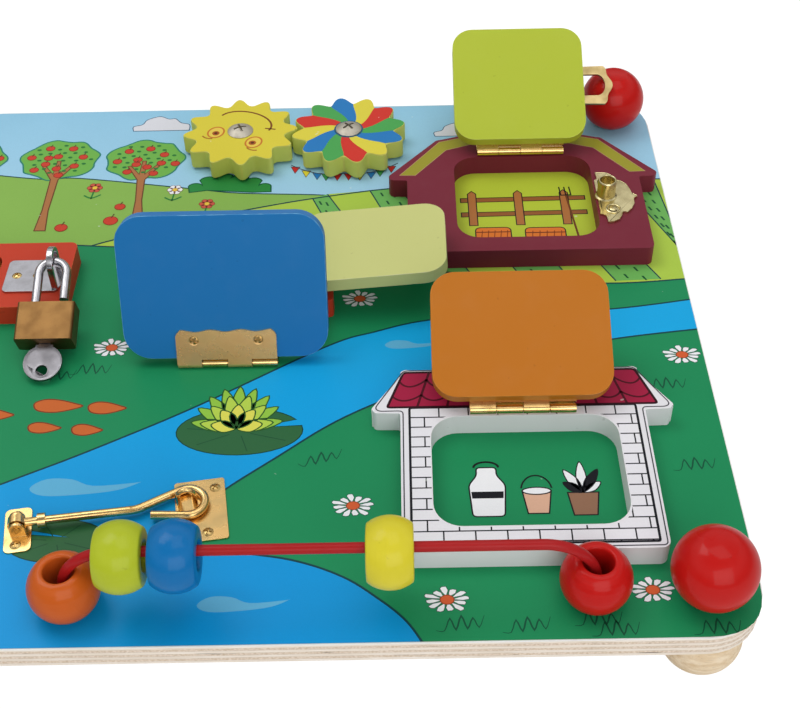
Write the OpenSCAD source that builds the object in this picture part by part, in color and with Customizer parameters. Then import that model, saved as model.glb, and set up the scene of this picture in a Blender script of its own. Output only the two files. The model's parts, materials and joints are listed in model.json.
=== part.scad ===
// Wooden busy board: a printed board on ball feet that carries four houses
// with hinged doors, two meshing picture gears, three beads on a bent wire,
// a cabin hook with its eye and a small padlock in a staple.
// Millimetres. +X runs to the right, +Y to the back, +Z up. The origin is on
// the surface that the feet stand on, under the middle of the board.

/* [Board] */
// Length of the board, left to right
board_l = 400; // [385:1:440]
// Depth of the board, front to back
board_d = 300; // [294:1:330]
// Thickness of the board
board_t = 9; // [7:0.5:14]
// Radius of the board's corners
board_corner_r = 20; // [10:1:24]

/* [Corner balls] */
// Diameter of the balls above and below each corner
ball_d = 28; // [25:0.5:31]
// Depth of the flats that the balls seat and stand on
ball_flat = 1; // [0.5:0.25:2]
// Distance of the balls' centres from the board's edges
ball_inset = 17.2; // [16:0.1:17.4]
// Diameter of the dowel through each pair of balls
dowel_d = 8; // [6:0.5:10]
// Depth of the dowel in each ball
dowel_seat = 14; // [8:1:18]

/* [Houses] */
// Thickness of the house frames
frame_t = 9; // [8:0.5:12]
// Thickness of the doors
door_t = 5.5; // [4:0.5:6.5]
// Gap between a door and its window
door_gap = 0.8; // [0.5:0.1:1.2]
// Corner radius of the doors
door_r = 9; // [5:0.5:11]
// Small rounding of the frames' corners
frame_r = 3; // [1:0.5:4]
// Width of the barn's walls
barn_wall_w = 100; // [94:1:104]
// Width of the barn across its eaves
barn_eave_w = 111.6; // [108:0.5:116]
// Width of the barn's roof at its top
barn_top_w = 73.6; // [70:0.5:80]
// Depth of the barn, front to back
barn_d = 78; // [78:0.5:82]
// Width of the barn's door
barn_door_w = 57.5; // [52:0.5:62]
// Depth of the barn's door
barn_door_d = 54.2; // [48:0.5:56]
// Width of the brick house's walls
brick_wall_w = 87.6; // [84:0.5:92]
// Width of the brick house across its eaves
brick_eave_w = 107.4; // [100:0.5:112]
// Depth of the brick house, front to back
brick_d = 83.6; // [82:0.5:88]
// Width of the brick house's door
brick_door_w = 64.5; // [58:0.5:68]
// Depth of the brick house's door
brick_door_d = 48; // [42:0.5:50]
// Width of the red house's walls
red_wall_w = 75; // [73:0.5:77]
// Depth of the red house, front to back
red_d = 64; // [62:0.5:66]
// Length of the red house's door, from its hinge
red_door_d = 57.6; // [50:0.5:58]
// Width of the red house's door, along its hinge
red_door_w = 43; // [41:0.5:44]
// Length of the padlocked shed
shed_l = 102; // [100:1:108]
// Depth of the padlocked shed
shed_d = 39.5; // [38:0.5:42]
// Length of the shed's door, from its hinge
shed_door_d = 57.4; // [52:0.5:58]
// Width of the shed's door, along its hinge
shed_door_w = 25.4; // [24:0.2:27]
// Width of the pond door, along its hinge
pond_door_w = 77.2; // [70:0.2:84]
// Depth of the pond door
pond_door_d = 56.2; // [48:0.2:58]

/* [Hinges] */
// Length of the door hinges
hinge_l = 38; // [34:1:40]
// Length of the shed door's hinge
small_hinge_l = 22; // [20:1:23]
// Outer radius of the hinge barrels
barrel_r = 1.7; // [1.6:0.1:2]
// Thickness of the hinge leaves
leaf_t = 0.9; // [0.7:0.1:1]
// Reach of the wide leaves from the pin's axis
wide_leaf = 14; // [13:0.5:15]
// Reach of the narrow leaves from the pin's axis
narrow_leaf = 11; // [10:0.5:11.5]
// Diameter of the hinge pins
pin_d = 1.5; // [1.2:0.1:1.8]
// Angle that the barn's door stands open
barn_open = 151; // [130:1:151]
// Angle that the brick house's door stands open
brick_open = 154; // [120:1:160]
// Angle that the pond door stands open
pond_open = 111.8; // [100:0.2:125]
// Angle that the red house's door lies open
red_open = 175; // [150:1:176]

/* [Gears] */
// Thickness of the gears
gear_t = 8.6; // [6:0.2:10]
// Outer radius of the gears
gear_r = 25.9; // [25.3:0.1:26.5]
// Depth of the gears' rays and petals
ray_depth = 5.2; // [4.4:0.1:6]
// Distance between the gears' centres
gear_pitch = 49; // [48.6:0.1:49.6]
// Diameter of the screws that the gears turn on
gear_screw_d = 5; // [4:0.5:6]

/* [Bead rail] */
// Diameter of the coated wire
wire_d = 3.5; // [3:0.1:4]
// Height of the wire's straight run above the board
wire_h = 27; // [25:0.5:32]
// Distance between the wire's ends
wire_span = 169.5; // [164:0.5:176]
// Radius of the wire's bends
wire_bend_r = 18; // [15:0.5:20]
// Diameter of the beads
bead_d = 23.4; // [20:0.2:25]
// Length of the beads on the wire
bead_l = 15; // [13:0.2:15.4]
// Diameter of the beads' holes
bead_hole_d = 9; // [8:0.2:10]
// Height of the beads at the wire's ends
base_bead_h = 18.5; // [16:0.5:20]

/* [Hook, catch and padlock] */
// Diameter of the hook's rod
hook_d = 3; // [2.4:0.1:3.2]
// Length of the hook from its pin to the middle of its eye
hook_l = 57.3; // [54:0.1:60]
// Height of the catch's post
post_h = 8; // [6:0.5:9]
// Radius of the catch's post
post_r = 3.9; // [3.4:0.1:4.1]
// Width of the padlock's body
lock_w = 22; // [20:0.5:24]
// Length of the padlock's body
lock_l = 16; // [15:0.5:18]
// Thickness of the padlock's body
lock_t = 9.5; // [9:0.1:10]
// Diameter of the shackle's wire
shackle_d = 3.5; // [3:0.1:3.8]
// Travel of the shackle from open to locked
shackle_travel = 6; // [4:0.5:6.5]

/* [Hidden] */
$fn = 48;
arc_steps = 8;                       // straight steps in each rounded corner
touch = 0.02;                        // overlap that keeps joined shapes one solid
run_clear = 0.05;                    // running clearance of pins in bores
fit_clear = 0.03;                    // clearance of screws and dowels in wood
seat_gap = 0.1;                      // gap between parts that only rest together

foot_h = ball_d - 2 * ball_flat;
board_top = foot_h + board_t;
frame_top = board_top + frame_t;
ball_x = board_l / 2 - ball_inset;
ball_y = board_d / 2 - ball_inset;
corners = [[-ball_x, -ball_y], [ball_x, -ball_y], [-ball_x, ball_y], [ball_x, ball_y]];
door_edge = barrel_r + 0.7;          // from a hinge's axis to its door's edge
window_edge = door_edge - door_gap;  // from a hinge's axis to the window's edge
window_r = door_r + door_gap;
screw_head_r = 1.9;
screw_head_h = 0.7;
screw_r = 0.9;
screw_l = 4;
flush_sink = 0.05;
flush_head_h = 0.55;

// Hinge places: x and y of the axis and the turn of the hinge about +Z
edge_x = board_l / 2;
edge_y = board_d / 2;
barn_x = edge_x - 62;
barn_hinge_y = edge_y - 53.4;
brick_x = edge_x - 72.4;
brick_hinge_y = 90.3 - edge_y;
pond_x = 18.5;
pond_hinge_y = -24.3;
red_x = 15.5;
red_hinge = [43.5, 23.7];
shed_hinge = [-137.6, 21.2];

barn_back = edge_y - 41.5;
barn_front = barn_back - barn_d;
barn_eave_y = barn_back - 39.5;
brick_back = 112.5 - edge_y;
brick_front = brick_back - brick_d;
brick_eave_y = brick_back - 28.5;
red_back = 55;
red_front = red_back - red_d;
shed_back = 41;
shed_right = -48;

// Meshing gears: the pinwheel stands half a tooth round from the sun
gear_teeth = 12;
sun_pos = [edge_x - 187, edge_y - 32.7];
pinwheel_pos = sun_pos + [gear_pitch, 0];
sun_phase = 5;
pinwheel_phase = 180 / gear_teeth - sun_phase;
washer_t = 1;
washer_r = 7;
gear_bottom = board_top + washer_t + seat_gap;
gear_top = gear_bottom + gear_t;
gear_head_r = 6.2;
gear_head_h = 2.6;

wire_y = 16.9 - edge_y;
wire_right = edge_x - 54.5;
wire_left = wire_right - wire_span;
wire_z = board_top + wire_h;
wire_r = wire_d / 2;
bead_z = wire_z - (bead_hole_d / 2 - wire_r - seat_gap);
lime_x = wire_left + 20.4;
blue_x = wire_left + 37.4;
yellow_x = wire_left + 104.2;

// Cabin hook: its own frame has the pin at the origin and the rod along +X
hook_pin_pos = [-46, -102.7];
hook_turn = 8.6;
hook_r = hook_d / 2;
hook_pin_r = 1.1;
hook_ring_r = 3.1;
hook_plate_t = 0.8;
hook_z = board_top + hook_plate_t + hook_ring_r + 0.4;
eye_plate_t = 0.8;                   // the closed pond door passes just above it
loop_r = 5.9;
loop_pos = [hook_l, 0.9];
rod_bend = [hook_l - 17.3, 0];
loop_reach = norm(loop_pos - rod_bend);
rod_angle = atan2(loop_pos.y, loop_pos.x - rod_bend.x) + asin(loop_r / loop_reach);
rod_dir = [cos(rod_angle), sin(rod_angle)];
rod_rise = sqrt(loop_reach * loop_reach - loop_r * loop_r);
bend_r = 10;
bend_cut = bend_r * tan(rod_angle / 2);
loop_exit = 8.6;
loop_end = loop_pos - loop_r * [sin(loop_exit), cos(loop_exit)];
free_end_l = 11.8;
hook_drop = hook_z - (board_top + eye_plate_t + hook_r + 0.15);
hook_dip = atan2(hook_drop, hook_l + loop_r);
eye_wire_r = 0.9;
eye_arch_r = 2.7;
eye_arch_h = 8;
eye_pos = [hook_l - 0.3, loop_pos.y];

// Barn catch
catch_x = barn_x + 34;
catch_y = barn_back - 43.6;
catch_t = 1;
rivet_off = 9.2;
catch_rivet_h = 0.5;                 // lower than the bail that lies over them
bail_pivot_x = barn_x + 23.2;
bail_t = 1.2;
bail_gap = 10.4;
bail_arm_w = 3.8;
bail_reach = 12.4;
bail_pull_w = 7.5;
bail_pin_r = 0.7;
bail_barrel_r = 1.5;
bail_eye_r = 1.3;
bail_rise = 2.2;
bail_span = bail_gap + 2 * bail_arm_w;

// Padlock: its own frame has the bend of the shackle at the origin and the lock
// hanging along -Y, tilted down until the key's bow rests on the board
lock_pos = [-51.2, 15.2];
lock_h = 20.25;
plate_pos = [-54.3, 19.2];
staple_pos = [-52.2, 16.55];
lock_tilt = 20.5;
leg_gap = 10.8;
shackle_r = shackle_d / 2;
shackle_out = 20;
free_leg_out = 3;
leg_in = 7;
leg_clear = 0.08;
plug_r = 3.1;
key_t = 1.6;
key_blade_w = 4.4;
key_in = 11;
bow_r = 7.4;
bow_out = 8;
staple_t = 1.6;
staple_w = 2.4;
staple_plate_t = 1;
staple_in = 4.45;
staple_crown = lock_h - frame_t - 1.2;
strap_x = -80;
strap_y = 17.5;
strap_l = 34;
strap_w = 19;
strap_t = 1.2;
strap_open = 165;

// ---- Outlines ----

function unit(v) = v / norm(v);

// Points of the arc of radius r that rounds the corner b between a and c
function arc_at(a, b, c, r) =
    let (
        u = unit(a - b),
        v = unit(c - b),
        half = acos(u * v) / 2,
        centre = b + unit(u + v) * (r / sin(half)),
        p = b + u * (r / tan(half)) - centre,
        q = b + v * (r / tan(half)) - centre,
        start = atan2(p.y, p.x),
        sweep = ((atan2(q.y, q.x) - start + 540) % 360) - 180
    )
    [for (i = [0 : arc_steps])
        let (a = start + sweep * i / arc_steps) centre + r * [cos(a), sin(a)]];

// The closed outline through points, with each corner rounded to its radius
function rounded(points, radii) =
    let (n = len(points))
    [for (i = [0 : n - 1])
        each arc_at(points[(i + n - 1) % n], points[i], points[(i + 1) % n], radii[i])];

// A rounded rectangle from corner a to corner b
function box_outline(a, b, r) =
    rounded([a, [b.x, a.y], b, [a.x, b.y]], [r, r, r, r]);

// A house seen from above: walls below, eaves that stand out, a sloping roof
function house_outline(x, front, eave_y, back, wall_w, eave_w, top_w, eave_h) =
    rounded([
        [x - wall_w / 2, front], [x + wall_w / 2, front],
        [x + wall_w / 2, eave_y], [x + eave_w / 2, eave_y],
        [x + eave_w / 2, eave_y + eave_h], [x + top_w / 2, back],
        [x - top_w / 2, back], [x - eave_w / 2, eave_y + eave_h],
        [x - eave_w / 2, eave_y], [x - wall_w / 2, eave_y]
    ], [frame_r, frame_r, 1, eave_h / 3, eave_h / 2, frame_r,
        frame_r, eave_h / 2, eave_h / 3, 1]);

// ---- Hinge places and motions ----

// Puts the hinge frame, with its axis along X and its door towards -Y
module at_hinge(pos, base_z, turn) {
    translate([pos.x, pos.y, base_z + barrel_r]) rotate([0, 0, turn]) children();
}
module at_barn() { at_hinge([barn_x, barn_hinge_y], frame_top, 0) children(); }
module at_brick() { at_hinge([brick_x, brick_hinge_y], frame_top, 0) children(); }
module at_pond() { at_hinge([pond_x, pond_hinge_y], board_top, 0) children(); }
module at_red() { at_hinge(red_hinge, frame_top, -90) children(); }
module at_shed() { at_hinge(shed_hinge, frame_top, 90) children(); }
module opened(angle) { rotate([-angle, 0, 0]) children(); }

// ---- Hardware ----

module pin_bore(r, l) {
    rotate([0, 90, 0]) cylinder(r = r, h = l, center = true);
}

module screw(head_r = screw_head_r, head_h = screw_head_h) {
    cylinder(r1 = head_r, r2 = head_r * 0.65, h = head_h);
    translate([0, 0, -screw_l]) cylinder(r = screw_r, h = screw_l + touch);
}

// A screw whose head sits flush in the metal it holds
module flush_screw() {
    translate([0, 0, -flush_head_h - flush_sink])
        cylinder(r1 = screw_head_r * 0.7, r2 = screw_head_r, h = flush_head_h);
    translate([0, 0, -screw_l])
        cylinder(r = screw_r, h = screw_l - flush_head_h - flush_sink + touch);
}

module flush_screw_hole() {
    screw_hole();
    translate([0, 0, -flush_head_h - flush_sink])
        cylinder(r1 = screw_head_r * 0.7 + fit_clear, r2 = screw_head_r + 2 * fit_clear,
                 h = flush_head_h + flush_sink + touch);
}

module screw_hole() {
    translate([0, 0, -screw_l - 0.3]) cylinder(r = screw_r + fit_clear, h = screw_l + 3);
}

// Places of a leaf's two screws in the hinge frame, for side +1 or -1
function leaf_screws(l, reach, side) =
    [for (s = [-1, 1]) [s * l * 0.32, side * reach * 0.7]];

// The wavy free edge and rounded ends of a pressed leaf
function leaf_outline(l, reach) = concat(
    [[-l / 2, 0], [l / 2, 0], [l / 2, reach - 2.4], [l / 2 - 0.6, reach - 1.2]],
    [for (i = [12 : -1 : -12])
        let (x = i / 12 * (l / 2 - 1.8)) [x, reach - 0.45 - 0.45 * cos(i * 45)]],
    [[-l / 2 + 0.6, reach - 1.2], [-l / 2, reach - 2.4]]
);

// One leaf: a flat plate and every other one of the four knuckles, bored for
// the pin. The leaf that faces it fills the other two places
module hinge_leaf(l, reach) {
    segment = l / 4;
    difference() {
        union() {
            difference() {
                translate([0, 0, -barrel_r]) linear_extrude(leaf_t)
                    polygon(leaf_outline(l, reach));
                for (i = [0, 2])
                    translate([-l / 2 + i * segment - 0.2, -1, -barrel_r - 1])
                        cube([segment + 0.4, barrel_r + 1.3, leaf_t + 2]);
            }
            for (i = [1, 3])
                translate([-l / 2 + i * segment + 0.15, 0, 0]) rotate([0, 90, 0])
                    cylinder(r = barrel_r, h = segment - 0.3);
        }
        pin_bore(pin_d / 2 + run_clear, l + 2);
        for (p = leaf_screws(l, reach, 1)) translate([p.x, p.y, -barrel_r])
            screw_hole();
    }
}

// The moving leaf points towards the door, so it is turned round the Z axis
module door_leaf(l, reach) { rotate([0, 0, 180]) hinge_leaf(l, reach); }

module hinge_pin(l) {
    rotate([0, 90, 0]) cylinder(r = pin_d / 2, h = l - 0.4, center = true);
}

module leaf_screw_set(l, reach, side) {
    for (p = leaf_screws(l, reach, side))
        translate([p.x, p.y, -barrel_r + leaf_t]) screw();
}

// A door in the hinge frame, closed, with its upper face at height top
module door_panel(w, d, top, l, reach) {
    difference() {
        translate([0, 0, top - door_t]) linear_extrude(door_t)
            polygon(box_outline([-w / 2, -door_edge - d], [w / 2, -door_edge],
                                min(door_r, w / 4)));
        for (p = leaf_screws(l, reach, -1)) translate([p.x, p.y, top + leaf_t])
            screw_hole();
    }
}

// The window that a closed door fits, in the hinge frame
module window_cut(w, d) {
    translate([0, 0, -frame_t - barrel_r - 1]) linear_extrude(frame_t + 2)
        polygon(box_outline([-w / 2 - door_gap, -door_edge - d - door_gap],
                            [w / 2 + door_gap, -window_edge], min(window_r, w / 4)));
}

module frame_screw_cut(l, reach) {
    for (p = leaf_screws(l, reach, 1)) translate([p.x, p.y, -barrel_r + leaf_t])
        screw_hole();
}

// ---- Board, balls and feet ----

module board_holes() {
    for (c = corners) translate([c.x, c.y, -1])
        cylinder(r = dowel_d / 2 + fit_clear, h = board_top + 2);
    for (p = [sun_pos, pinwheel_pos]) translate([p.x, p.y, foot_h + 1])
        cylinder(r = gear_screw_d / 2 + fit_clear, h = board_t);
    for (x = [wire_left, wire_right]) translate([x, wire_y, foot_h + 1])
        cylinder(r = wire_r + fit_clear, h = board_t);
    at_pond() frame_screw_cut(hinge_l, wide_leaf);
    at_hook_screws() screw_hole();
}

module base_board() {
    color("#3f9a5a") difference() {
        translate([0, 0, foot_h]) linear_extrude(board_t)
            polygon(box_outline([-board_l / 2, -board_d / 2], [board_l / 2, board_d / 2],
                                board_corner_r));
        board_holes();
    }
}

// A ball with a flat above and below, its lower flat at the origin
module flat_ball(bored_from) {
    difference() {
        intersection() {
            translate([0, 0, ball_d / 2 - ball_flat]) sphere(d = ball_d, $fn = 64);
            translate([-ball_d, -ball_d, 0]) cube([2 * ball_d, 2 * ball_d, foot_h]);
        }
        translate([0, 0, bored_from]) cylinder(r = dowel_d / 2 + fit_clear, h = dowel_seat + 1);
    }
}

module corner_balls() {
    color("#c81a1e") for (c = corners) translate([c.x, c.y, board_top]) flat_ball(-1);
}

module ball_feet() {
    color("#e3c69a") for (c = corners) translate([c.x, c.y, 0])
        flat_ball(foot_h - dowel_seat);
}

module corner_dowels() {
    color("#d9bb8c") for (c = corners) translate([c.x, c.y, foot_h - dowel_seat + 0.1])
        cylinder(d = dowel_d, h = board_t + 2 * dowel_seat - 0.2);
}

// ---- Houses ----

module house_body(outline) {
    translate([0, 0, board_top]) linear_extrude(frame_t) polygon(outline);
}

module barn_frame() {
    color("#7d2436") difference() {
        house_body(house_outline(barn_x, barn_front, barn_eave_y, barn_back,
                                 barn_wall_w, barn_eave_w, barn_top_w, 6));
        at_barn() window_cut(barn_door_w, barn_door_d);
        at_barn() frame_screw_cut(hinge_l, narrow_leaf);
        for (s = [-1, 1]) translate([catch_x + 2, catch_y + s * rivet_off, frame_top + catch_t])
            screw_hole();
    }
}

module brick_house_frame() {
    color("#f2f0ec") difference() {
        house_body(house_outline(brick_x, brick_front, brick_eave_y, brick_back,
                                 brick_wall_w, brick_eave_w, brick_wall_w - 4, 5));
        at_brick() window_cut(brick_door_w, brick_door_d);
        at_brick() frame_screw_cut(hinge_l, wide_leaf);
    }
}

module red_house_frame() {
    color("#c8402c") difference() {
        house_body(house_outline(red_x, red_front, red_front + 11, red_back,
                                 red_wall_w, red_wall_w + 10, red_wall_w, 6));
        at_red() window_cut(red_door_w, red_door_d);
        at_red() frame_screw_cut(hinge_l, narrow_leaf);
    }
}

module shed_frame() {
    color("#c8402c") difference() {
        house_body(box_outline([shed_right - shed_l, shed_back - shed_d],
                               [shed_right, shed_back], frame_r));
        at_shed() window_cut(shed_door_w, shed_door_d);
        at_shed() frame_screw_cut(small_hinge_l, narrow_leaf);
        at_staple_screws() screw_hole();
    }
}

// ---- Hinges ----

module fixed_hinge_leaves() {
    color("#c9a24a") {
        at_barn() hinge_leaf(hinge_l, narrow_leaf);
        at_brick() hinge_leaf(hinge_l, wide_leaf);
        at_pond() hinge_leaf(hinge_l, wide_leaf);
        at_red() hinge_leaf(hinge_l, narrow_leaf);
        at_shed() hinge_leaf(small_hinge_l, narrow_leaf);
    }
}

module hinge_pins() {
    color("#b9954a") {
        at_barn() hinge_pin(hinge_l);
        at_brick() hinge_pin(hinge_l);
        at_pond() hinge_pin(hinge_l);
        at_red() hinge_pin(hinge_l);
        at_shed() hinge_pin(small_hinge_l);
    }
}

module fixed_leaf_screws() {
    color("#b08c40") {
        at_barn() leaf_screw_set(hinge_l, narrow_leaf, 1);
        at_brick() leaf_screw_set(hinge_l, wide_leaf, 1);
        at_pond() leaf_screw_set(hinge_l, wide_leaf, 1);
        at_red() leaf_screw_set(hinge_l, narrow_leaf, 1);
        at_shed() leaf_screw_set(small_hinge_l, narrow_leaf, 1);
    }
}

// ---- Doors ----

// House doors lie under their leaf, flush with the frame when closed
module barn_door() {
    color("#b4c13b") difference() {
        at_barn() opened(barn_open)
            door_panel(barn_door_w, barn_door_d, -barrel_r, hinge_l, narrow_leaf);
        at_barn() opened(barn_open) at_bail_plate_rivets() screw_hole();
    }
}
module barn_door_leaf() {
    color("#c9a24a") at_barn() opened(barn_open) door_leaf(hinge_l, narrow_leaf);
}
module barn_leaf_screws() {
    color("#b08c40") at_barn() opened(barn_open) leaf_screw_set(hinge_l, narrow_leaf, -1);
}

module brick_house_door() {
    color("#bc7023") at_brick() opened(brick_open)
        door_panel(brick_door_w, brick_door_d, -barrel_r, hinge_l, wide_leaf);
}
module brick_door_leaf() {
    color("#c9a24a") at_brick() opened(brick_open) door_leaf(hinge_l, wide_leaf);
}
module brick_leaf_screws() {
    color("#b08c40") at_brick() opened(brick_open) leaf_screw_set(hinge_l, wide_leaf, -1);
}

// The pond door lies on its leaf, so the leaf shows when it stands open
module pond_door() {
    color("#256ba8") at_pond() opened(pond_open) difference() {
        translate([0, 0, -barrel_r + leaf_t]) linear_extrude(door_t)
            polygon(box_outline([-pond_door_w / 2, -door_edge - pond_door_d],
                                [pond_door_w / 2, -door_edge], door_r + 1.5));
        for (p = leaf_screws(hinge_l, wide_leaf, -1))
            translate([p.x, p.y, -barrel_r]) mirror([0, 0, 1]) screw_hole();
    }
}
module pond_door_leaf() {
    color("#c9a24a") at_pond() opened(pond_open) difference() {
        door_leaf(hinge_l, wide_leaf);
        at_pond_leaf_screws() flush_screw_hole();
    }
}
module at_pond_leaf_screws() {
    for (p = leaf_screws(hinge_l, wide_leaf, -1))
        translate([p.x, p.y, -barrel_r]) mirror([0, 0, 1]) children();
}
// These lie between the leaf and the board when the door is closed
module pond_leaf_screws() {
    color("#b08c40") at_pond() opened(pond_open) at_pond_leaf_screws() flush_screw();
}

module red_house_door() {
    color("#cacb84") at_red() opened(red_open)
        door_panel(red_door_w, red_door_d, -barrel_r, hinge_l, narrow_leaf);
}
module red_door_leaf() {
    color("#c9a24a") at_red() opened(red_open) door_leaf(hinge_l, narrow_leaf);
}
module red_leaf_screws() {
    color("#b08c40") at_red() opened(red_open) leaf_screw_set(hinge_l, narrow_leaf, -1);
}

module shed_door() {
    color("#d8b23a") difference() {
        at_shed() door_panel(shed_door_w, shed_door_d, -barrel_r, small_hinge_l, narrow_leaf);
        at_strap_screws() screw_hole();
    }
}
module shed_door_leaf() { color("#c9a24a") at_shed() door_leaf(small_hinge_l, narrow_leaf); }
module shed_leaf_screws() {
    color("#b08c40") at_shed() leaf_screw_set(small_hinge_l, narrow_leaf, -1);
}

// ---- Gears ----

// A gear outline with pointed rays (sharp above 1) or round petals (below 1)
function gear_outline(phase, sharp) =
    [for (a = [0 : 2.5 : 357.5])
        let (lift = pow((1 + cos(gear_teeth * (a - phase))) / 2, sharp),
             r = gear_r - ray_depth * (1 - lift))
        r * [cos(a), sin(a)]];

module gear(pos, phase, sharp) {
    translate([pos.x, pos.y, gear_bottom]) difference() {
        linear_extrude(gear_t) polygon(gear_outline(phase, sharp));
        translate([0, 0, -1]) cylinder(r = gear_screw_d / 2 + run_clear, h = gear_t + 2);
    }
}
module sun_gear() { color("#d8cb3e") gear(sun_pos, sun_phase, 1.25); }
module pinwheel_gear() { color("#a9b44c") gear(pinwheel_pos, pinwheel_phase, 0.8); }

module gear_washers() {
    color("#e8e4da") for (p = [sun_pos, pinwheel_pos]) translate([p.x, p.y, board_top])
        difference() {
            cylinder(r = washer_r, h = washer_t);
            translate([0, 0, -1]) cylinder(r = gear_screw_d / 2 + run_clear, h = washer_t + 2);
        }
}

// Pan head: a disc with a rounded crown
module pan_head(r, h) {
    rotate_extrude() intersection() {
        translate([0, h - r * 1.6]) circle(r = r * 1.6, $fn = 96);
        square([r, h]);
    }
}

module gear_screws() {
    color("#c9c9cc") for (p = [sun_pos, pinwheel_pos]) translate([p.x, p.y, 0]) {
        translate([0, 0, gear_top + seat_gap]) pan_head(gear_head_r, gear_head_h);
        translate([0, 0, foot_h + 1.5])
            cylinder(d = gear_screw_d, h = gear_top + seat_gap + touch - foot_h - 1.5);
    }
}

// ---- Bead rail ----

module bead_wire() {
    color("#b3161b") {
        for (x = [wire_left, wire_right]) translate([x, wire_y, foot_h + 1.5])
            cylinder(r = wire_r, h = wire_z - wire_bend_r - foot_h - 1.5);
        translate([wire_right - wire_bend_r, wire_y, wire_z - wire_bend_r])
            rotate([90, 0, 0]) rotate_extrude(angle = 90)
                translate([wire_bend_r, 0]) circle(r = wire_r);
        translate([wire_left + wire_bend_r, wire_y, wire_z - wire_bend_r])
            rotate([90, 0, 180]) rotate_extrude(angle = 90)
                translate([wire_bend_r, 0]) circle(r = wire_r);
        translate([wire_left + wire_bend_r, wire_y, wire_z]) rotate([0, 90, 0])
            cylinder(r = wire_r, h = wire_span - 2 * wire_bend_r);
    }
}

// A barrel bead about its own Z axis: a ball cut off square and bored
module bead(l, hole_d = bead_hole_d) {
    rotate_extrude() difference() {
        intersection() {
            circle(d = bead_d, $fn = 96);
            translate([0, -l / 2]) square([bead_d, l]);
        }
        translate([-bead_d, -l]) square([bead_d + hole_d / 2, 2 * l]);
    }
}
// The beads at the wire's ends have a wider hole, for the wire's bend
module base_bead(x) {
    translate([x, wire_y, board_top + base_bead_h / 2]) bead(base_bead_h, bead_hole_d + 1);
}
module wire_bead(x) { translate([x, wire_y, bead_z]) rotate([0, 90, 0]) bead(bead_l); }
module orange_base_bead() { color("#cf6326") base_bead(wire_left); }
module red_base_bead() { color("#c41f1f") base_bead(wire_right); }
module lime_bead() { color("#aebe2e") wire_bead(lime_x); }
module blue_bead() { color("#1f74b4") wire_bead(blue_x); }
module yellow_bead() { color("#ddd445") wire_bead(yellow_x); }

// ---- Cabin hook ----

module at_hook() {
    translate([hook_pin_pos.x, hook_pin_pos.y, hook_z]) rotate([0, 0, hook_turn]) children();
}

// Two screws in the pivot plate and two in the eye plate
module at_hook_screws() {
    at_hook() translate([0, 0, board_top - hook_z]) {
        for (s = [-1, 1]) translate([-1, s * 6.5, hook_plate_t]) children();
        translate([hook_l + 9.5, 7.2, eye_plate_t]) children();
        translate([hook_l + 6, -12, eye_plate_t]) children();
    }
}

// A straight length of the rod from p, along the level angle a
module rod(p, a, l) {
    translate([p.x, p.y, 0]) rotate([0, 0, a]) rotate([0, 90, 0]) cylinder(r = hook_r, h = l);
}

// A bent length of the rod about c, from the level angle a on by turn. Its
// ends reach a little way into the straight lengths
module rod_arc(c, r, a, turn) {
    lap = 15 / r;
    translate([c.x, c.y, 0]) rotate([0, 0, a - lap]) rotate_extrude(angle = turn + 2 * lap)
        translate([r, 0]) circle(r = hook_r - touch);
}

// Rod with a slight bend, a loop round the eye and a short free end
module cabin_hook() {
    color("#cfa64a") at_hook() rotate([0, hook_dip, 0]) difference() {
        union() {
            rotate([90, 0, 0]) cylinder(r = hook_ring_r, h = hook_d, center = true);
            rod([1, 0], 0, rod_bend.x - bend_cut - 1);
            rod_arc([rod_bend.x - bend_cut, bend_r], bend_r, -90, rod_angle);
            rod(rod_bend + bend_cut * rod_dir, rod_angle, rod_rise - bend_cut);
            rod_arc(loop_pos, loop_r, -90 - loop_exit, 180 + rod_angle + loop_exit);
            rod(loop_end, 180 - loop_exit, free_end_l);
            translate([7, 0, 0]) rotate([0, 90, 0]) cylinder(r = hook_r + 1.1, h = 2.6);
        }
        rotate([90, 0, 0]) cylinder(r = hook_pin_r + run_clear, h = hook_d + 4, center = true);
    }
}

module hook_plate() {
    color("#c9a24a") difference() {
        at_hook() translate([0, 0, board_top - hook_z]) {
            linear_extrude(hook_plate_t)
                polygon(box_outline([-5, -9.5], [4.2, 9.5], 2));
            for (s = [-1, 1]) translate([0, s * (hook_r + 0.9), 0]) rotate([90, 0, 0])
                difference() {
                    linear_extrude(1.2, center = true) union() {
                        translate([0, hook_z - board_top]) circle(r = 2.6);
                        translate([-2.6, hook_plate_t - touch])
                            square([5.2, hook_z - board_top - hook_plate_t]);
                    }
                    translate([0, hook_z - board_top, 0])
                        cylinder(r = hook_pin_r + fit_clear, h = 3, center = true);
                }
        }
        at_hook_screws() screw_hole();
    }
}

module hook_pin() {
    color("#b9954a") at_hook() rotate([90, 0, 0])
        cylinder(r = hook_pin_r, h = hook_d + 3.4, center = true);
}

// Plate with an upright wire arch that the hook's loop drops over
module eye_plate() {
    color("#cfa64a") difference() {
        union() {
            at_hook() translate([hook_l - 4.5, -15.5, board_top - hook_z])
                linear_extrude(eye_plate_t)
                    polygon(box_outline([0, 0], [17.4, 27], 1));
            at_hook() translate([eye_pos.x, eye_pos.y, board_top - hook_z + eye_plate_t - touch]) {
                for (s = [-1, 1]) translate([s * eye_arch_r, 0, 0])
                    cylinder(r = eye_wire_r, h = eye_arch_h - eye_arch_r);
                translate([0, 0, eye_arch_h - eye_arch_r]) rotate([90, 0, 0])
                    rotate_extrude(angle = 180) translate([eye_arch_r, 0])
                        circle(r = eye_wire_r);
            }
        }
        at_hook_screws() screw_hole();
    }
}

module hook_screws() { color("#b08c40") at_hook_screws() screw(); }

// ---- Barn catch ----

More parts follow.
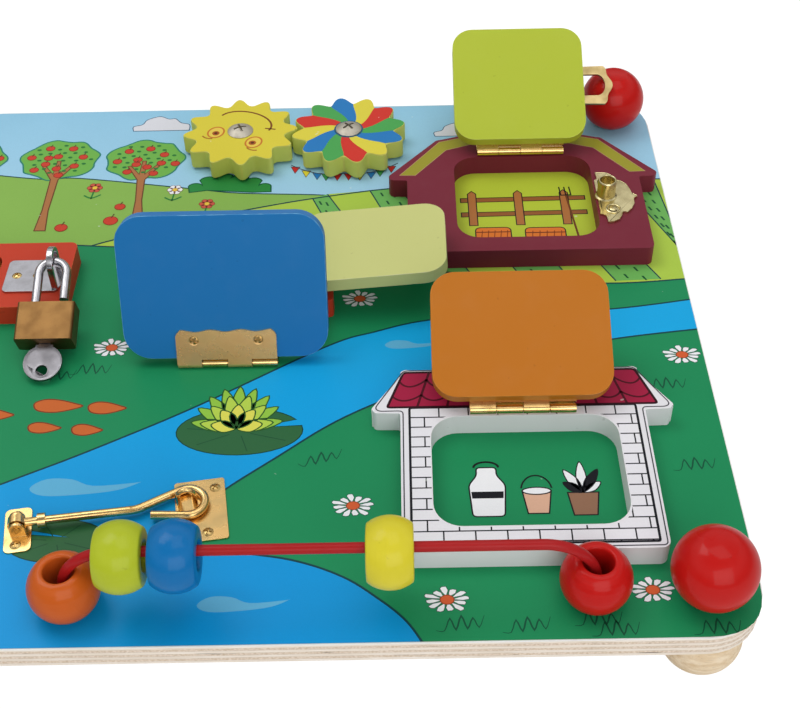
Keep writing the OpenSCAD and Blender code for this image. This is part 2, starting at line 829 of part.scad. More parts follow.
// Half a scalloped flower with a pointed tip, flat along the window's edge
function rosette_outline(w, h, lobes) = concat(
    [[-4.4, -h / 2 + 4], [-3.2, -h / 2 + 1]],
    [for (i = [1 : 35])
        let (a = -90 + i * 5, s = 1.3 * abs(sin(lobes * (a + 90))))
        [(w + s) * cos(a) + (abs(a) < 3 ? 1.6 : 0), (h / 2 - 1.3 + s) * sin(a)]],
    [[-3.2, h / 2 - 1], [-4.4, h / 2 - 4]]
);

module at_catch() { translate([catch_x, catch_y, frame_top]) children(); }

module catch_plate() {
    color("#c9b063") at_catch() difference() {
        union() {
            linear_extrude(catch_t) polygon(rosette_outline(11, 34, 3));
            cylinder(r = post_r, h = catch_t + post_h);
        }
        translate([0, 0, catch_t + post_h - 5]) cylinder(r = post_r - 0.9, h = 6);
        for (s = [-1, 1]) translate([2, s * rivet_off, catch_t]) screw_hole();
    }
}

module catch_rivets() {
    color("#b99f58") at_catch()
        for (s = [-1, 1]) translate([2, s * rivet_off, catch_t]) screw(2.1, catch_rivet_h);
}

// The bail's own frame, on the barn door: its pin lies along the door
module at_bail() {
    at_barn() opened(barn_open)
        translate([bail_pivot_x - barn_x, catch_y - barn_hinge_y, bail_rise - barrel_r])
            children();
}

module at_bail_plate_rivets() {
    translate([bail_pivot_x - barn_x - 6, catch_y - barn_hinge_y, -barrel_r + 0.8])
        for (s = [-1, 1]) translate([0, s * 5, 0]) children();
}

// Plate on the door's outer face with a barrel between the bail's arms
module bail_plate() {
    color("#c9b063") difference() {
        at_bail() difference() {
            union() {
                translate([0, 0, -bail_rise]) linear_extrude(0.8)
                    polygon(box_outline([-9.5, -8.5], [0.8, 8.5], 2.2));
                rotate([90, 0, 0])
                    cylinder(r = bail_barrel_r, h = bail_gap - 0.6, center = true);
                translate([-1, -(bail_gap - 0.6) / 2, -bail_rise])
                    cube([2, bail_gap - 0.6, bail_rise - 0.6]);
            }
            rotate([90, 0, 0])
                cylinder(r = bail_pin_r + run_clear, h = bail_span + 2, center = true);
        }
        at_barn() opened(barn_open) at_bail_plate_rivets() screw_hole();
    }
}

module bail_rivets() {
    color("#b99f58") at_barn() opened(barn_open) at_bail_plate_rivets() screw();
}

module bail_pin() {
    color("#b99f58") at_bail() rotate([90, 0, 0])
        cylinder(r = bail_pin_r, h = bail_span, center = true);
}

// Two arms that pass the post, and a pull with a round inner edge and three
// lobes outside, in line with the door's face
module bail() {
    half = bail_span / 2;
    color("#d2bb74") at_bail() difference() {
        union() {
            translate([0, 0, -bail_t / 2]) linear_extrude(bail_t) difference() {
                polygon(concat(
                    [[0, -half]],
                    [for (i = [-14 : 14])
                        let (v = i / 14, u = bail_reach + bail_pull_w - 2.8)
                        [u + 2.8 * exp(-12 * v * v) - 0.5 * cos(v * 540) * (1 - abs(v))
                         - 1.6 * pow(abs(v), 8), v * (half + 0.4)]],
                    [[0, half]]
                ));
                translate([bail_reach, 0]) scale([3.7, bail_gap / 2])
                    circle(r = 1, $fn = 32);
                translate([-2, -bail_gap / 2]) square([bail_reach + 2, bail_gap]);
            }
            for (s = [-1, 1]) translate([0, s * (bail_gap + bail_arm_w) / 2, 0])
                rotate([90, 0, 0]) cylinder(r = bail_eye_r, h = bail_arm_w, center = true);
        }
        rotate([90, 0, 0])
            cylinder(r = bail_pin_r + run_clear, h = bail_span + 2, center = true);
    }
}

// ---- Staple, hasp strap and padlock ----

module at_staple() { translate([staple_pos.x, staple_pos.y, frame_top]) children(); }
module at_plate() { translate([plate_pos.x, plate_pos.y, frame_top]) children(); }

module at_staple_screws() {
    at_plate() for (x = [-6.2, -14.5]) translate([x, 0, staple_plate_t]) children();
}

module staple_plate() {
    color("#b9bbbd") difference() {
        at_plate() linear_extrude(staple_plate_t) polygon(rounded(
            [[-19, -9.5], [2.8, -9.5], [6, 0], [2.8, 9.5], [-19, 9.5]], [2, 2, 1.5, 2, 2]));
        at_staple_screws() screw_hole();
        at_staple() for (s = [-1, 1]) translate([0, s * (staple_in + staple_t / 2), 0])
            cube([staple_w + 2 * fit_clear, staple_t + 2 * fit_clear, 3], center = true);
    }
}

// Bent strip with a round crown, its legs let into the plate
module staple() {
    color("#c4c6c8") at_staple() rotate([90, 0, 90])
        linear_extrude(staple_w, center = true) difference() {
            union() {
                translate([0, staple_crown]) circle(r = staple_in + staple_t);
                translate([-staple_in - staple_t, 0.1])
                    square([2 * (staple_in + staple_t), staple_crown]);
            }
            translate([0, staple_crown]) circle(r = staple_in);
            translate([-staple_in, -1]) square([2 * staple_in, staple_crown + 1]);
        }
}

module staple_screws() { color("#b08c40") at_staple_screws() screw(); }

module at_strap() { translate([strap_x, strap_y, frame_top + barrel_r]) children(); }

module at_strap_screws() {
    at_strap() for (s = [-1, 1]) translate([-8, s * 5.5, -barrel_r + leaf_t]) children();
}

// Short leaf on the shed door that carries the strap on a single barrel
module strap_leaf() {
    color("#b9bbbd") difference() {
        at_strap() difference() {
            union() {
                translate([0, 0, -barrel_r]) linear_extrude(leaf_t) difference() {
                    polygon(box_outline([-11.5, -8.5], [1, 8.5], 1.5 / 2));
                    for (s = [-1, 1]) translate([barrel_r - 4, s * 8.5 - 3.4])
                        square([6, 6.8]);
                }
                rotate([90, 0, 0]) cylinder(r = barrel_r, h = 9.4, center = true);
            }
            rotate([90, 0, 0]) cylinder(r = pin_d / 2 + run_clear, h = 20, center = true);
        }
        at_strap_screws() screw_hole();
    }
}

module strap_leaf_screws() { color("#b08c40") at_strap_screws() screw(); }

module strap_pin() {
    color("#a8aaac") at_strap() rotate([90, 0, 0])
        cylinder(r = pin_d / 2, h = strap_w - 0.4, center = true);
}

// Slotted strap, laid back over the door
module hasp_strap() {
    color("#c4c6c8") at_strap() rotate([0, -strap_open, 0]) difference() {
        union() {
            translate([0, 0, -strap_t / 2]) linear_extrude(strap_t) difference() {
                polygon(rounded(
                    [[0, -strap_w / 2], [strap_l, -strap_w / 2],
                     [strap_l, strap_w / 2], [0, strap_w / 2]], [0.5, 4, 4, 0.5]));
                translate([staple_pos.x - strap_x, staple_pos.y - strap_y])
                    square([staple_w + 2.4, 2 * (staple_in + staple_t) + 0.8], center = true);
                translate([-1, -5]) square([barrel_r + 1.4, 10]);
            }
            for (s = [-1, 1]) translate([0, s * (strap_w / 2 - 1.75), 0]) rotate([90, 0, 0])
                cylinder(r = barrel_r, h = 3.5, center = true);
        }
        rotate([90, 0, 0]) cylinder(r = pin_d / 2 + run_clear, h = 20, center = true);
    }
}

module at_lock() {
    translate([lock_pos.x, lock_pos.y, board_top + lock_h])
        rotate([lock_tilt, 0, 0]) children();
}

// Bent round bar: a half ring, a long leg in the body and a short free leg
module shackle() {
    arc_y = -leg_gap / 2;
    color("#c9ccce") at_lock() {
        translate([0, arc_y, 0]) rotate_extrude(angle = 180)
            translate([leg_gap / 2, 0]) circle(r = shackle_r);
        translate([-leg_gap / 2, arc_y, 0]) rotate([90, 0, 0])
            cylinder(r = shackle_r, h = shackle_out + leg_in + arc_y);
        translate([leg_gap / 2, arc_y, 0]) rotate([90, 0, 0])
            cylinder(r = shackle_r, h = shackle_out - free_leg_out + arc_y);
    }
}

module lock_body() {
    color("#b58a45") at_lock() difference() {
        translate([0, -shackle_out, 0]) rotate([90, 0, 0]) linear_extrude(lock_l)
            polygon(box_outline([-lock_w / 2, -lock_t / 2], [lock_w / 2, lock_t / 2], 1.2));
        translate([-leg_gap / 2, -shackle_out + 1, 0]) rotate([90, 0, 0])
            cylinder(r = shackle_r + leg_clear, h = leg_in + shackle_travel + 1.4);
        translate([leg_gap / 2, -shackle_out + 1, 0]) rotate([90, 0, 0])
            cylinder(r = shackle_r + leg_clear, h = shackle_travel + 1.4);
        translate([0, -shackle_out - lock_l - 1, 0]) rotate([-90, 0, 0])
            cylinder(r = plug_r + run_clear, h = key_in + 2);
    }
}

// Turning plug with the keyway, let into the body's lower end
module lock_plug() {
    color("#9c7a3c") at_lock() translate([0, -shackle_out - lock_l, 0]) difference() {
        rotate([-90, 0, 0]) cylinder(r = plug_r, h = key_in + 0.8);
        translate([-key_blade_w / 2 - fit_clear, -1, -key_t / 2 - fit_clear])
            cube([key_blade_w + 2 * fit_clear, key_in + 1.2, key_t + 2 * fit_clear]);
    }
}

module key() {
    color("#b4b6ba") at_lock() translate([0, -shackle_out - lock_l, 0])
        linear_extrude(key_t, center = true) {
            translate([-key_blade_w / 2, -bow_out]) square([key_blade_w, bow_out + key_in]);
            translate([-key_blade_w / 2 - 1.2, -2.4]) square([key_blade_w + 2.4, 2]);
            difference() {
                translate([0, -bow_out]) circle(r = bow_r);
                translate([0, -bow_out - 3.4]) circle(r = 2.2);
            }
        }
}

base_board();
corner_balls();
ball_feet();
corner_dowels();
barn_frame();
brick_house_frame();
red_house_frame();
shed_frame();
bead_wire();
orange_base_bead();
red_base_bead();
gear_washers();
gear_screws();
fixed_hinge_leaves();
hinge_pins();
fixed_leaf_screws();
catch_plate();
catch_rivets();
hook_plate();
hook_pin();
eye_plate();
hook_screws();
staple_plate();
staple();
staple_screws();
sun_gear();
pinwheel_gear();
barn_door();
barn_door_leaf();
barn_leaf_screws();
bail_plate();
bail_rivets();
bail_pin();
bail();
brick_house_door();
brick_door_leaf();
brick_leaf_screws();
pond_door();
pond_door_leaf();
pond_leaf_screws();
red_house_door();
red_door_leaf();
red_leaf_screws();
shed_door();
shed_door_leaf();
shed_leaf_screws();
strap_leaf();
strap_leaf_screws();
strap_pin();
hasp_strap();
shackle();
lock_body();
lock_plug();
key();
cabin_hook();
lime_bead();
blue_bead();
yellow_bead();
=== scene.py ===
"""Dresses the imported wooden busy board: print, paint, metal, screws and stage."""

import copy
import json
import math

import bmesh
import bpy
import numpy as np
from mathutils import Matrix, Vector
from mathutils.geometry import tessellate_polygon


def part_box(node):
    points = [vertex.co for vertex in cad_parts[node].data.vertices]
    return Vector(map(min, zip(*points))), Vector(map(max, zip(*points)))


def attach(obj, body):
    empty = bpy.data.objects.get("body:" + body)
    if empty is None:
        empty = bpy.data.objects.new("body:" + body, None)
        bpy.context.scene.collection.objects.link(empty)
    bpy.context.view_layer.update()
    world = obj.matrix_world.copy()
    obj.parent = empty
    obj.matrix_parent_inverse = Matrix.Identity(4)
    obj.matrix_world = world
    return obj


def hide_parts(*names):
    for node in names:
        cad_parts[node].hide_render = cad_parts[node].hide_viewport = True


bl_info = {
    "name": "Wooden Busy Board",
    "version": (1, 0, 0),
    "blender": (4, 5, 0),
    "location": "3D Viewport > Sidebar > Busy Board",
    "description": "Printed board, painted houses, brass latches and beads",
    "category": "Object",
}

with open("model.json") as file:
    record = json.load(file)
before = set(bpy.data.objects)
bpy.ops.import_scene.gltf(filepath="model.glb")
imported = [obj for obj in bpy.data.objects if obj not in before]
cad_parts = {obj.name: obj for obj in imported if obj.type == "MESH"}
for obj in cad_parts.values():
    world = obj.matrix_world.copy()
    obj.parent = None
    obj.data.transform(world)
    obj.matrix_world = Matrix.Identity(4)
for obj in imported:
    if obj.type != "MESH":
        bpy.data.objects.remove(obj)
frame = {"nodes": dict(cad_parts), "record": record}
NODES = frame["nodes"]
BODY_OF = {
    node: body
    for body, names in frame["record"]["behaviour"]["bodies"].items()
    for node in names
}
SLOT_OF = {p["node"]: p["material_slot"] for p in frame["record"]["subparts"]}
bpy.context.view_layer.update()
MM = 0.001
BOARD_TOP = 35.0
FRAME_TOP = 44.0
LAYER = 0.02  # thickness of one layer of ink, in mm
BARN_X, BRICK_X = 138.0, 127.6  # middles of the barn and the brick house, in mm
SUN_X, PINWHEEL_X, GEAR_Y, GEAR_TOP = 13.0, 62.0, 117.3, 44.7
GEAR_R, RAYS, RAY_DEPTH = 25.9, 12, 5.2
BALL_X, BALL_Y = 182.8, 132.8
BALL_R, BALL_HALF = 14.0, 13.0  # the balls are flattened above and below
BEAD_R, WIRE_Y, WIRE_END_Z = 11.7, -133.1, 44.25
PRINT_X, PRINT_Y, PRINT_CORNER = 199.6, 149.6, 19.6  # the print ends just inside the board
SHARP = math.radians(30)  # edges bent more than this are rounded

# ---- Colours ----


def rgb(r, g, b):
    """A colour written as a paint card gives it, for Blender's linear sockets."""
    def one(c):
        c /= 255
        return c / 12.92 if c <= 0.04045 else ((c + 0.055) / 1.055) ** 2.4
    return (one(r), one(g), one(b), 1.0)


SKY = rgb(150, 203, 230)
SKY_LOW = rgb(172, 215, 238)
HILL = rgb(140, 184, 84)
FIELD = rgb(112, 182, 92)
LIME_FIELD = rgb(176, 206, 76)
MEADOW = rgb(30, 140, 88)
RIVER = rgb(22, 170, 230)
POND = rgb(12, 152, 220)
GLINT = rgb(98, 180, 218)
OUTLINE = rgb(22, 66, 72)
WHITE = rgb(244, 244, 246)
PAPER = rgb(236, 234, 238)
CLOUD = rgb(222, 222, 228)
ORANGE = rgb(206, 104, 48)
INK = rgb(24, 24, 30)

# ---- Node trees ----


def put(tree, kind, inputs=(), **fields):
    """Adds a node, sets its fields, and sets or links its inputs."""
    node = tree.nodes.new(kind)
    for name, value in fields.items():
        setattr(node, name, value)
    for key, value in dict(inputs).items():
        if isinstance(value, bpy.types.NodeSocket):
            tree.links.new(value, node.inputs[key])
        else:
            node.inputs[key].default_value = value
    return node


def made(tree, kind, inputs=(), **fields):
    """The first output of a new node."""
    return put(tree, kind, inputs, **fields).outputs[0]


def mix(tree, factor, a, b, blend="MIX"):
    return put(tree, "ShaderNodeMix", {0: factor, 6: a, 7: b}, data_type="RGBA",
               blend_type=blend).outputs[2]


def calc(tree, operation, a, b=0.0):
    return made(tree, "ShaderNodeMath", {0: a, 1: b}, operation=operation)


def spread(tree, value, low, high, to_low=0.0, to_high=1.0):
    """Maps low..high of a value to another range and clips it."""
    return made(tree, "ShaderNodeMapRange", {
        "Value": value, "From Min": low, "From Max": high, "To Min": to_low, "To Max": to_high})


def noise(tree, scale, detail=2.0, stretch=(1, 1, 1), rough=0.5):
    """Noise in the object's own metres, so that it stays with a piece that moves."""
    where = put(tree, "ShaderNodeTexCoord").outputs["Object"]
    place = made(tree, "ShaderNodeMapping", {"Vector": where, "Scale": stretch})
    return made(tree, "ShaderNodeTexNoise", {
        "Vector": place, "Scale": scale, "Detail": detail, "Roughness": rough})


def new_group(name, *inputs):
    """An empty shader group; returns its tree, its inputs and what links its outputs."""
    tree = bpy.data.node_groups.new(name, "ShaderNodeTree")
    for label, kind, value in inputs:
        tree.interface.new_socket(label, in_out="INPUT", socket_type=kind).default_value = value
    for label, kind in COAT_OUT:
        tree.interface.new_socket(label, in_out="OUTPUT", socket_type=kind)
    given = tree.nodes.new("NodeGroupInput").outputs
    result = tree.nodes.new("NodeGroupOutput").inputs

    def finish(*values):
        for (label, _), socket in zip(COAT_OUT, values):
            tree.links.new(socket, result[label])
        return tree
    return tree, given, finish


COLOUR, FLOAT = "NodeSocketColor", "NodeSocketFloat"
COAT_OUT = (("Colour", COLOUR), ("Roughness", FLOAT), ("Height", FLOAT))
PLAIN = (1.0, 1.0, 1.0, 1.0)


def paint_group():
    """Sprayed or brushed paint: soft mottling, specks, orange peel, and paler rims, partly rubbed
    wear and partly a painted highlight.
    """
    tree, given, finish = new_group(
        "Paint Coat", ("Colour", COLOUR, PLAIN), ("Rim Colour", COLOUR, PLAIN),
        ("Roughness", FLOAT, 0.4))
    cloudy = noise(tree, 38, 3)
    tone = mix(tree, spread(tree, cloudy, 0.3, 0.75, 0.0, 0.07), given["Colour"],
               rgb(225, 225, 215), "MULTIPLY")
    light = mix(tree, spread(tree, noise(tree, 120, 2), 0.5, 0.8, 0.0, 0.005), tone, PLAIN)
    specks = spread(tree, noise(tree, 420, 1), 0.76, 0.8, 0.0, 0.14)
    tone = mix(tree, specks, light, rgb(90, 60, 45), "MULTIPLY")
    # Rounded edges turn towards the paler rim colour: partly rubbed wear, partly a painted
    # highlight on the edge.
    rim = put(tree, "ShaderNodeAttribute", attribute_name="rim").outputs["Fac"]
    wear_and_highlight = spread(tree, noise(tree, 260, 3), 0.42, 0.62, 0.25, 0.85)
    tone = mix(tree, calc(tree, "MULTIPLY", rim, wear_and_highlight), tone, given["Rim Colour"])
    uneven = spread(tree, cloudy, 0.3, 0.7, -0.05, 0.07)
    return finish(tone, calc(tree, "ADD", given["Roughness"], uneven),
                  calc(tree, "ADD", noise(tree, 900, 2), calc(tree, "MULTIPLY", cloudy, 1.5)))


def grain_group():
    """Turned or sawn wood: long streaks along Z of the mapping, and fine pores."""
    tree, given, finish = new_group("Wood Grain", ("Pale", COLOUR, PLAIN), ("Dark", COLOUR, PLAIN))
    streaks = noise(tree, 60, 4, (1, 9, 9), 0.6)
    pores = noise(tree, 420, 2, (1, 8, 8))
    tone = mix(tree, spread(tree, streaks, 0.35, 0.7), given["Pale"], given["Dark"])
    tone = mix(tree, spread(tree, pores, 0.6, 0.75, 0, 0.35), tone, rgb(120, 88, 58))
    return finish(tone, spread(tree, streaks, 0.3, 0.7, 0.5, 0.66),
                  calc(tree, "ADD", streaks, pores))


def ply_group():
    """Plywood seen from the side: seven plies, glue lines, and the paper's rim."""
    tree, given, finish = new_group("Ply Layers", ("Bottom", FLOAT, 0.026),
                                    ("Ply", FLOAT, 0.00129))
    where = put(tree, "ShaderNodeTexCoord").outputs["Object"]
    z = put(tree, "ShaderNodeSeparateXYZ", {0: where}).outputs[2]
    wave = calc(tree, "MULTIPLY", calc(tree, "SUBTRACT", noise(tree, 22, 1), 0.5), 0.0005)
    height = calc(tree, "SUBTRACT", calc(tree, "ADD", z, wave), given["Bottom"])
    level = calc(tree, "DIVIDE", height, given["Ply"])
    odd = calc(tree, "GREATER_THAN", calc(tree, "FRACT", calc(tree, "MULTIPLY", level, 0.5)), 0.5)
    seam = calc(tree, "PINGPONG", level, 0.5)
    long_grain = noise(tree, 90, 4, (1, 1, 22), 0.6)
    end_grain = noise(tree, 1100, 2)
    pale = mix(tree, spread(tree, long_grain, 0.3, 0.75), rgb(250, 240, 228), rgb(226, 210, 190))
    tan = mix(tree, spread(tree, end_grain, 0.35, 0.7), rgb(236, 218, 200), rgb(206, 182, 154))
    tone = mix(tree, odd, pale, tan)
    glue = calc(tree, "MULTIPLY", spread(tree, seam, 0.0, 0.1, 0.45, 0.0),
                spread(tree, noise(tree, 130, 3), 0.4, 0.6))
    tone = mix(tree, glue, tone, rgb(120, 98, 74))
    cracks = spread(tree, noise(tree, 70, 3, (1, 1, 14)), 0.66, 0.7, 0.0, 0.75)
    tone = mix(tree, calc(tree, "MULTIPLY", cracks, odd), tone, rgb(92, 80, 70))
    paper = (BOARD_TOP - 0.5) * MM
    tone = mix(tree, spread(tree, z, paper, paper + 0.00005), tone, rgb(240, 240, 236))
    return finish(tone, spread(tree, long_grain, 0.3, 0.7, 0.5, 0.68),
                  calc(tree, "ADD", long_grain, calc(tree, "MULTIPLY", seam, 2.0)))


def metal_group():
    """Thin bright plating: uneven tone, small pits and hairline scratches."""
    tree, given, finish = new_group(
        "Bright Plating", ("Tint", COLOUR, PLAIN), ("Tarnish", COLOUR, PLAIN),
        ("Roughness", FLOAT, 0.2))
    patches = noise(tree, 150, 3)
    tone = mix(tree, spread(tree, patches, 0.4, 0.75, 0.0, 0.55), given["Tint"], given["Tarnish"])
    pits = spread(tree, noise(tree, 1500, 1), 0.68, 0.74)
    tone = mix(tree, calc(tree, "MULTIPLY", pits, 0.14), tone, given["Tarnish"], "MULTIPLY")
    lines = noise(tree, 240, 2, (1, 14, 14))
    uneven = spread(tree, patches, 0.3, 0.7, -0.04, 0.1)
    return finish(tone, calc(tree, "ADD", given["Roughness"], uneven),
                  calc(tree, "ADD", calc(tree, "MULTIPLY", lines, 0.6), patches))


def ink_group():
    """Printed ink under a satin varnish: colour from the layer, faint dot screen."""
    tree, given, finish = new_group("Printed Ink", ("Strength", FLOAT, 1.0))
    ink = put(tree, "ShaderNodeAttribute", attribute_name="ink").outputs["Color"]
    soft = spread(tree, noise(tree, 30, 3), 0.3, 0.7, 0.0, 0.12)
    tone = mix(tree, soft, ink, rgb(214, 220, 218), "MULTIPLY")
    dots = spread(tree, noise(tree, 1700, 1), 0.35, 0.7, 0.0, 0.06)
    tone = mix(tree, calc(tree, "MULTIPLY", dots, given["Strength"]), tone,
               rgb(190, 190, 190), "MULTIPLY")
    dust = spread(tree, noise(tree, 260, 1), 0.8, 0.82, 0.0, 0.35)
    tone = mix(tree, dust, tone, rgb(235, 240, 235))
    return finish(tone, spread(tree, soft, 0.0, 0.12, 0.3, 0.4), noise(tree, 700, 2))


def finish_material(name, group, given, bump, depth, **constants):
    """A Principled material fed by one shared group; constants sit on its sockets."""
    material = bpy.data.materials.new(name)
    material.use_nodes = True
    tree = material.node_tree
    shader = tree.nodes["Principled BSDF"]
    coat = put(tree, "ShaderNodeGroup", node_tree=group)
    for key, value in given.items():
        coat.inputs[key].default_value = value
    tree.links.new(coat.outputs["Colour"], shader.inputs["Base Color"])
    tree.links.new(coat.outputs["Roughness"], shader.inputs["Roughness"])
    relief = put(tree, "ShaderNodeBump", {
        "Height": coat.outputs["Height"], "Strength": bump, "Distance": depth})
    tree.links.new(relief.outputs[0], shader.inputs["Normal"])
    for key, value in constants.items():
        shader.inputs[key.replace("_", " ").title().replace("Ior", "IOR")].default_value = value
    material.diffuse_color = given.get("Colour", given.get("Tint", (0.8, 0.8, 0.8, 1)))
    return material


def make_materials():
    """Every slot's material, by its name: paint, lacquer, plating, wood, ply and ink."""
    paint, grain, ply = paint_group(), grain_group(), ply_group()
    metal, ink = metal_group(), ink_group()
    m = {}

    # The rim colour is a paler tint of each paint: partly rubbed wear, partly a painted highlight
    # on the rounded edges.
    def painted(slot, colour, rim, rough=0.42):
        m[slot] = finish_material(slot, paint, {
            "Colour": rgb(*colour), "Rim Colour": rgb(*rim), "Roughness": rough}, 0.2, 0.00005,
            specular_ior_level=0.16)

    def lacquered(slot, colour):
        m[slot] = finish_material(slot, paint, {
            "Colour": rgb(*colour), "Rim Colour": rgb(*colour), "Roughness": 0.3}, 0.12, 0.00004,
            specular_ior_level=0.08, coat_weight=0.16, coat_roughness=0.06)

    def plated(slot, tint, tarnish, rough, bump=0.3, metallic=1.0):
        m[slot] = finish_material(slot, metal, {
            "Tint": rgb(*tint), "Tarnish": rgb(*tarnish), "Roughness": rough}, bump, 0.00012,
            metallic=metallic)

    painted("maroon_paint", (120, 38, 54), (142, 62, 76))
    painted("white_print", (232, 230, 234), (245, 245, 245))
    painted("red_paint", (196, 62, 38), (215, 110, 60))
    painted("lime_paint", (179, 192, 55), (200, 210, 110))
    painted("orange_paint", (190, 112, 24), (206, 138, 60))
    painted("blue_paint", (26, 116, 182), (112, 170, 208))
    painted("pale_paint", (204, 206, 130), (228, 218, 190))
    painted("yellow_paint", (216, 178, 58), (230, 205, 130))
    painted("yellow_print", (208, 214, 104), (216, 210, 108), 0.48)
    painted("pinwheel_print", (206, 212, 104), (206, 202, 104), 0.48)
    painted("white_plastic", (226, 222, 214), (236, 234, 230), 0.5)
    painted("red_wire", (170, 28, 30), (180, 50, 50), 0.32)
    lacquered("red_gloss", (192, 24, 20))
    lacquered("orange_gloss", (200, 92, 30))
    lacquered("lime_gloss", (178, 190, 44))
    lacquered("blue_gloss", (14, 110, 174))
    lacquered("yellow_gloss", (218, 204, 52))
    plated("brass", (230, 194, 130), (200, 152, 88), 0.2, 0.02)
    # A lighter, less metallic copy of the brass for the pond door's leaf: painted light that
    # stands in for the light falling on that leaf.
    plated("painted_light_leaf_brass", (236, 196, 132), (214, 160, 98), 0.24, 0.02, 0.68)
    plated("pale_brass", (214, 200, 152), (132, 114, 66), 0.24, 0.2)
    plated("steel", (186, 184, 188), (140, 138, 138), 0.18, 0.03)
    plated("dull_steel", (196, 189, 174), (150, 144, 132), 0.56, 0.05)
    plated("bail_brass", (188, 166, 118), (134, 112, 60), 0.32, 0.08)
    plated("lock_brass", (132, 98, 58), (108, 76, 44), 0.4, 0.04)
    plated("key_steel", (134, 132, 136), (88, 86, 88), 0.34, 0.06)
    plated("dark_screw", (186, 150, 92), (96, 66, 34), 0.3, 0.1)
    plated("catch_screw", (214, 184, 120), (140, 102, 54), 0.3, 0.12)
    m["natural_wood"] = finish_material("natural_wood", grain, {
        "Pale": rgb(246, 226, 196), "Dark": rgb(222, 192, 148)}, 0.2, 0.0001)
    m["printed_plywood"] = finish_material("printed_plywood", ply, {}, 0.3, 0.00012)
    m["ink"] = finish_material("printed_ink", ink, {}, 0.15, 0.00004,
                               specular_ior_level=0.12)
    return m


# ---- Meshes ----


def evaluated(mesh, kind, prepare):
    """The mesh after one modifier, which the given function sets up."""
    holder = bpy.data.objects.new("holder", mesh)
    bpy.context.scene.collection.objects.link(holder)
    prepare(holder.modifiers.new("Step", kind))
    graph = bpy.context.evaluated_depsgraph_get()
    out = bpy.data.meshes.new_from_object(holder.evaluated_get(graph))
    bpy.data.objects.remove(holder)
    return out


def evened(mesh):
    """The mesh with normals that keep large faces flat beside their rounded edges."""
    def prepare(modifier):
        modifier.keep_sharp = True
        modifier.weight = 90
    out = evaluated(mesh, "WEIGHTED_NORMAL", prepare)
    out.name = mesh.name + "_even"
    return out


def deliver(name, shape, material, node=None, body=None, smooth=32):
    """Makes a finished piece from a bmesh or mesh, on its body and for its node."""
    if isinstance(shape, bmesh.types.BMesh):
        mesh = bpy.data.meshes.new(name)
        shape.to_mesh(mesh)
        shape.free()
    else:
        mesh = shape
        mesh.name = name
    if not mesh.materials:
        mesh.materials.append(material)
    mesh.polygons.foreach_set("use_smooth", [True] * len(mesh.polygons))
    mesh.set_sharp_from_angle(angle=math.radians(smooth))
    if "rim" in mesh.attributes:
        mesh = evened(mesh)
    piece = bpy.data.objects.new(name, mesh)
    bpy.context.scene.collection.objects.link(piece)
    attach(piece, body or BODY_OF[node])
    if node:
        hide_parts(node)


def merged(node, flat=True):
    """The node's own shape as one closed mesh, with whole flat faces if asked."""
    bm = bmesh.new()
    bm.from_mesh(NODES[node].data)
    bmesh.ops.remove_doubles(bm, verts=bm.verts, dist=2e-6)
    if flat:
        bmesh.ops.dissolve_limit(bm, angle_limit=math.radians(0.8), use_dissolve_boundaries=False,
                                 verts=bm.verts, edges=bm.edges)
    return bm


def soften(bm, width, segments):
    """Rounds the sharp edges and marks the new faces as the piece's rim."""
    rim = bm.faces.layers.float.new("rim")
    if width:
        sharp = [e for e in bm.edges
                 if len(e.link_faces) == 2 and e.calc_face_angle(0) > SHARP]
        out = bmesh.ops.bevel(bm, geom=sharp, offset=width * MM, offset_type="OFFSET",
                              segments=segments, profile=0.5, affect="EDGES",
                              clamp_overlap=True)
        for face in out["faces"]:
            face[rim] = 1.0
    return bm


def dress(node, material, bevel=0.0, segments=2, smooth=32, shape=None):
    """Finishes a node's own shape, or a changed one, with rounded edges."""
    bm = soften(merged(node) if shape is None else shape, bevel, segments)
    deliver(node + "_finished", bm, MAT[material], node, smooth=smooth)


def reshaped(node, moves, ridge=None):
    """The node's shape with some corners of its outline moved, and a raised ridge."""
    bm = merged(node)
    if ridge:
        x, y, lift = (v * MM for v in ridge)
        bmesh.ops.bisect_plane(bm, geom=bm.verts[:] + bm.edges[:] + bm.faces[:], dist=1e-7,
                               plane_co=(x, 0, 0), plane_no=(1, 0, 0))
        for v in bm.verts:
            if abs(v.co.x - x) < 1e-6 and abs(v.co.y - y) < 1e-4:
                v.co.y += lift
    for v in bm.verts:
        for (x, y), (to_x, to_y), reach in moves:
            if math.hypot(v.co.x / MM - x, v.co.y / MM - y) < reach:
                v.co += Vector(((to_x - x) * MM, (to_y - y) * MM, 0))
                break
    return bm


def both_sides(cx, rows):
    """The moves of the corners right of a middle, also mirrored to its left."""
    return [((cx + side * x, y), (cx + side * to_x, to_y), reach)
            for side in (-1, 1) for x, y, to_x, to_y, reach in rows]


def raise_rim(bm, width, depth):
    """Presses the middle of the two largest sides down, so that a rim stays round them."""
    sides, large = {}, 12e-6  # square metres
    for face in bm.faces:
        if face.calc_area() > large:
            sides.setdefault(tuple(round(c, 1) for c in face.normal), []).append(face)
    big = sorted(sides.values(), key=lambda faces: -sum(f.calc_area() for f in faces))[:2]
    for faces in big:
        if faces[0].normal.z > -0.9:
            bmesh.ops.inset_region(bm, faces=[f for f in faces if f.is_valid],
                                   thickness=width * MM, depth=-depth * MM, use_even_offset=True)


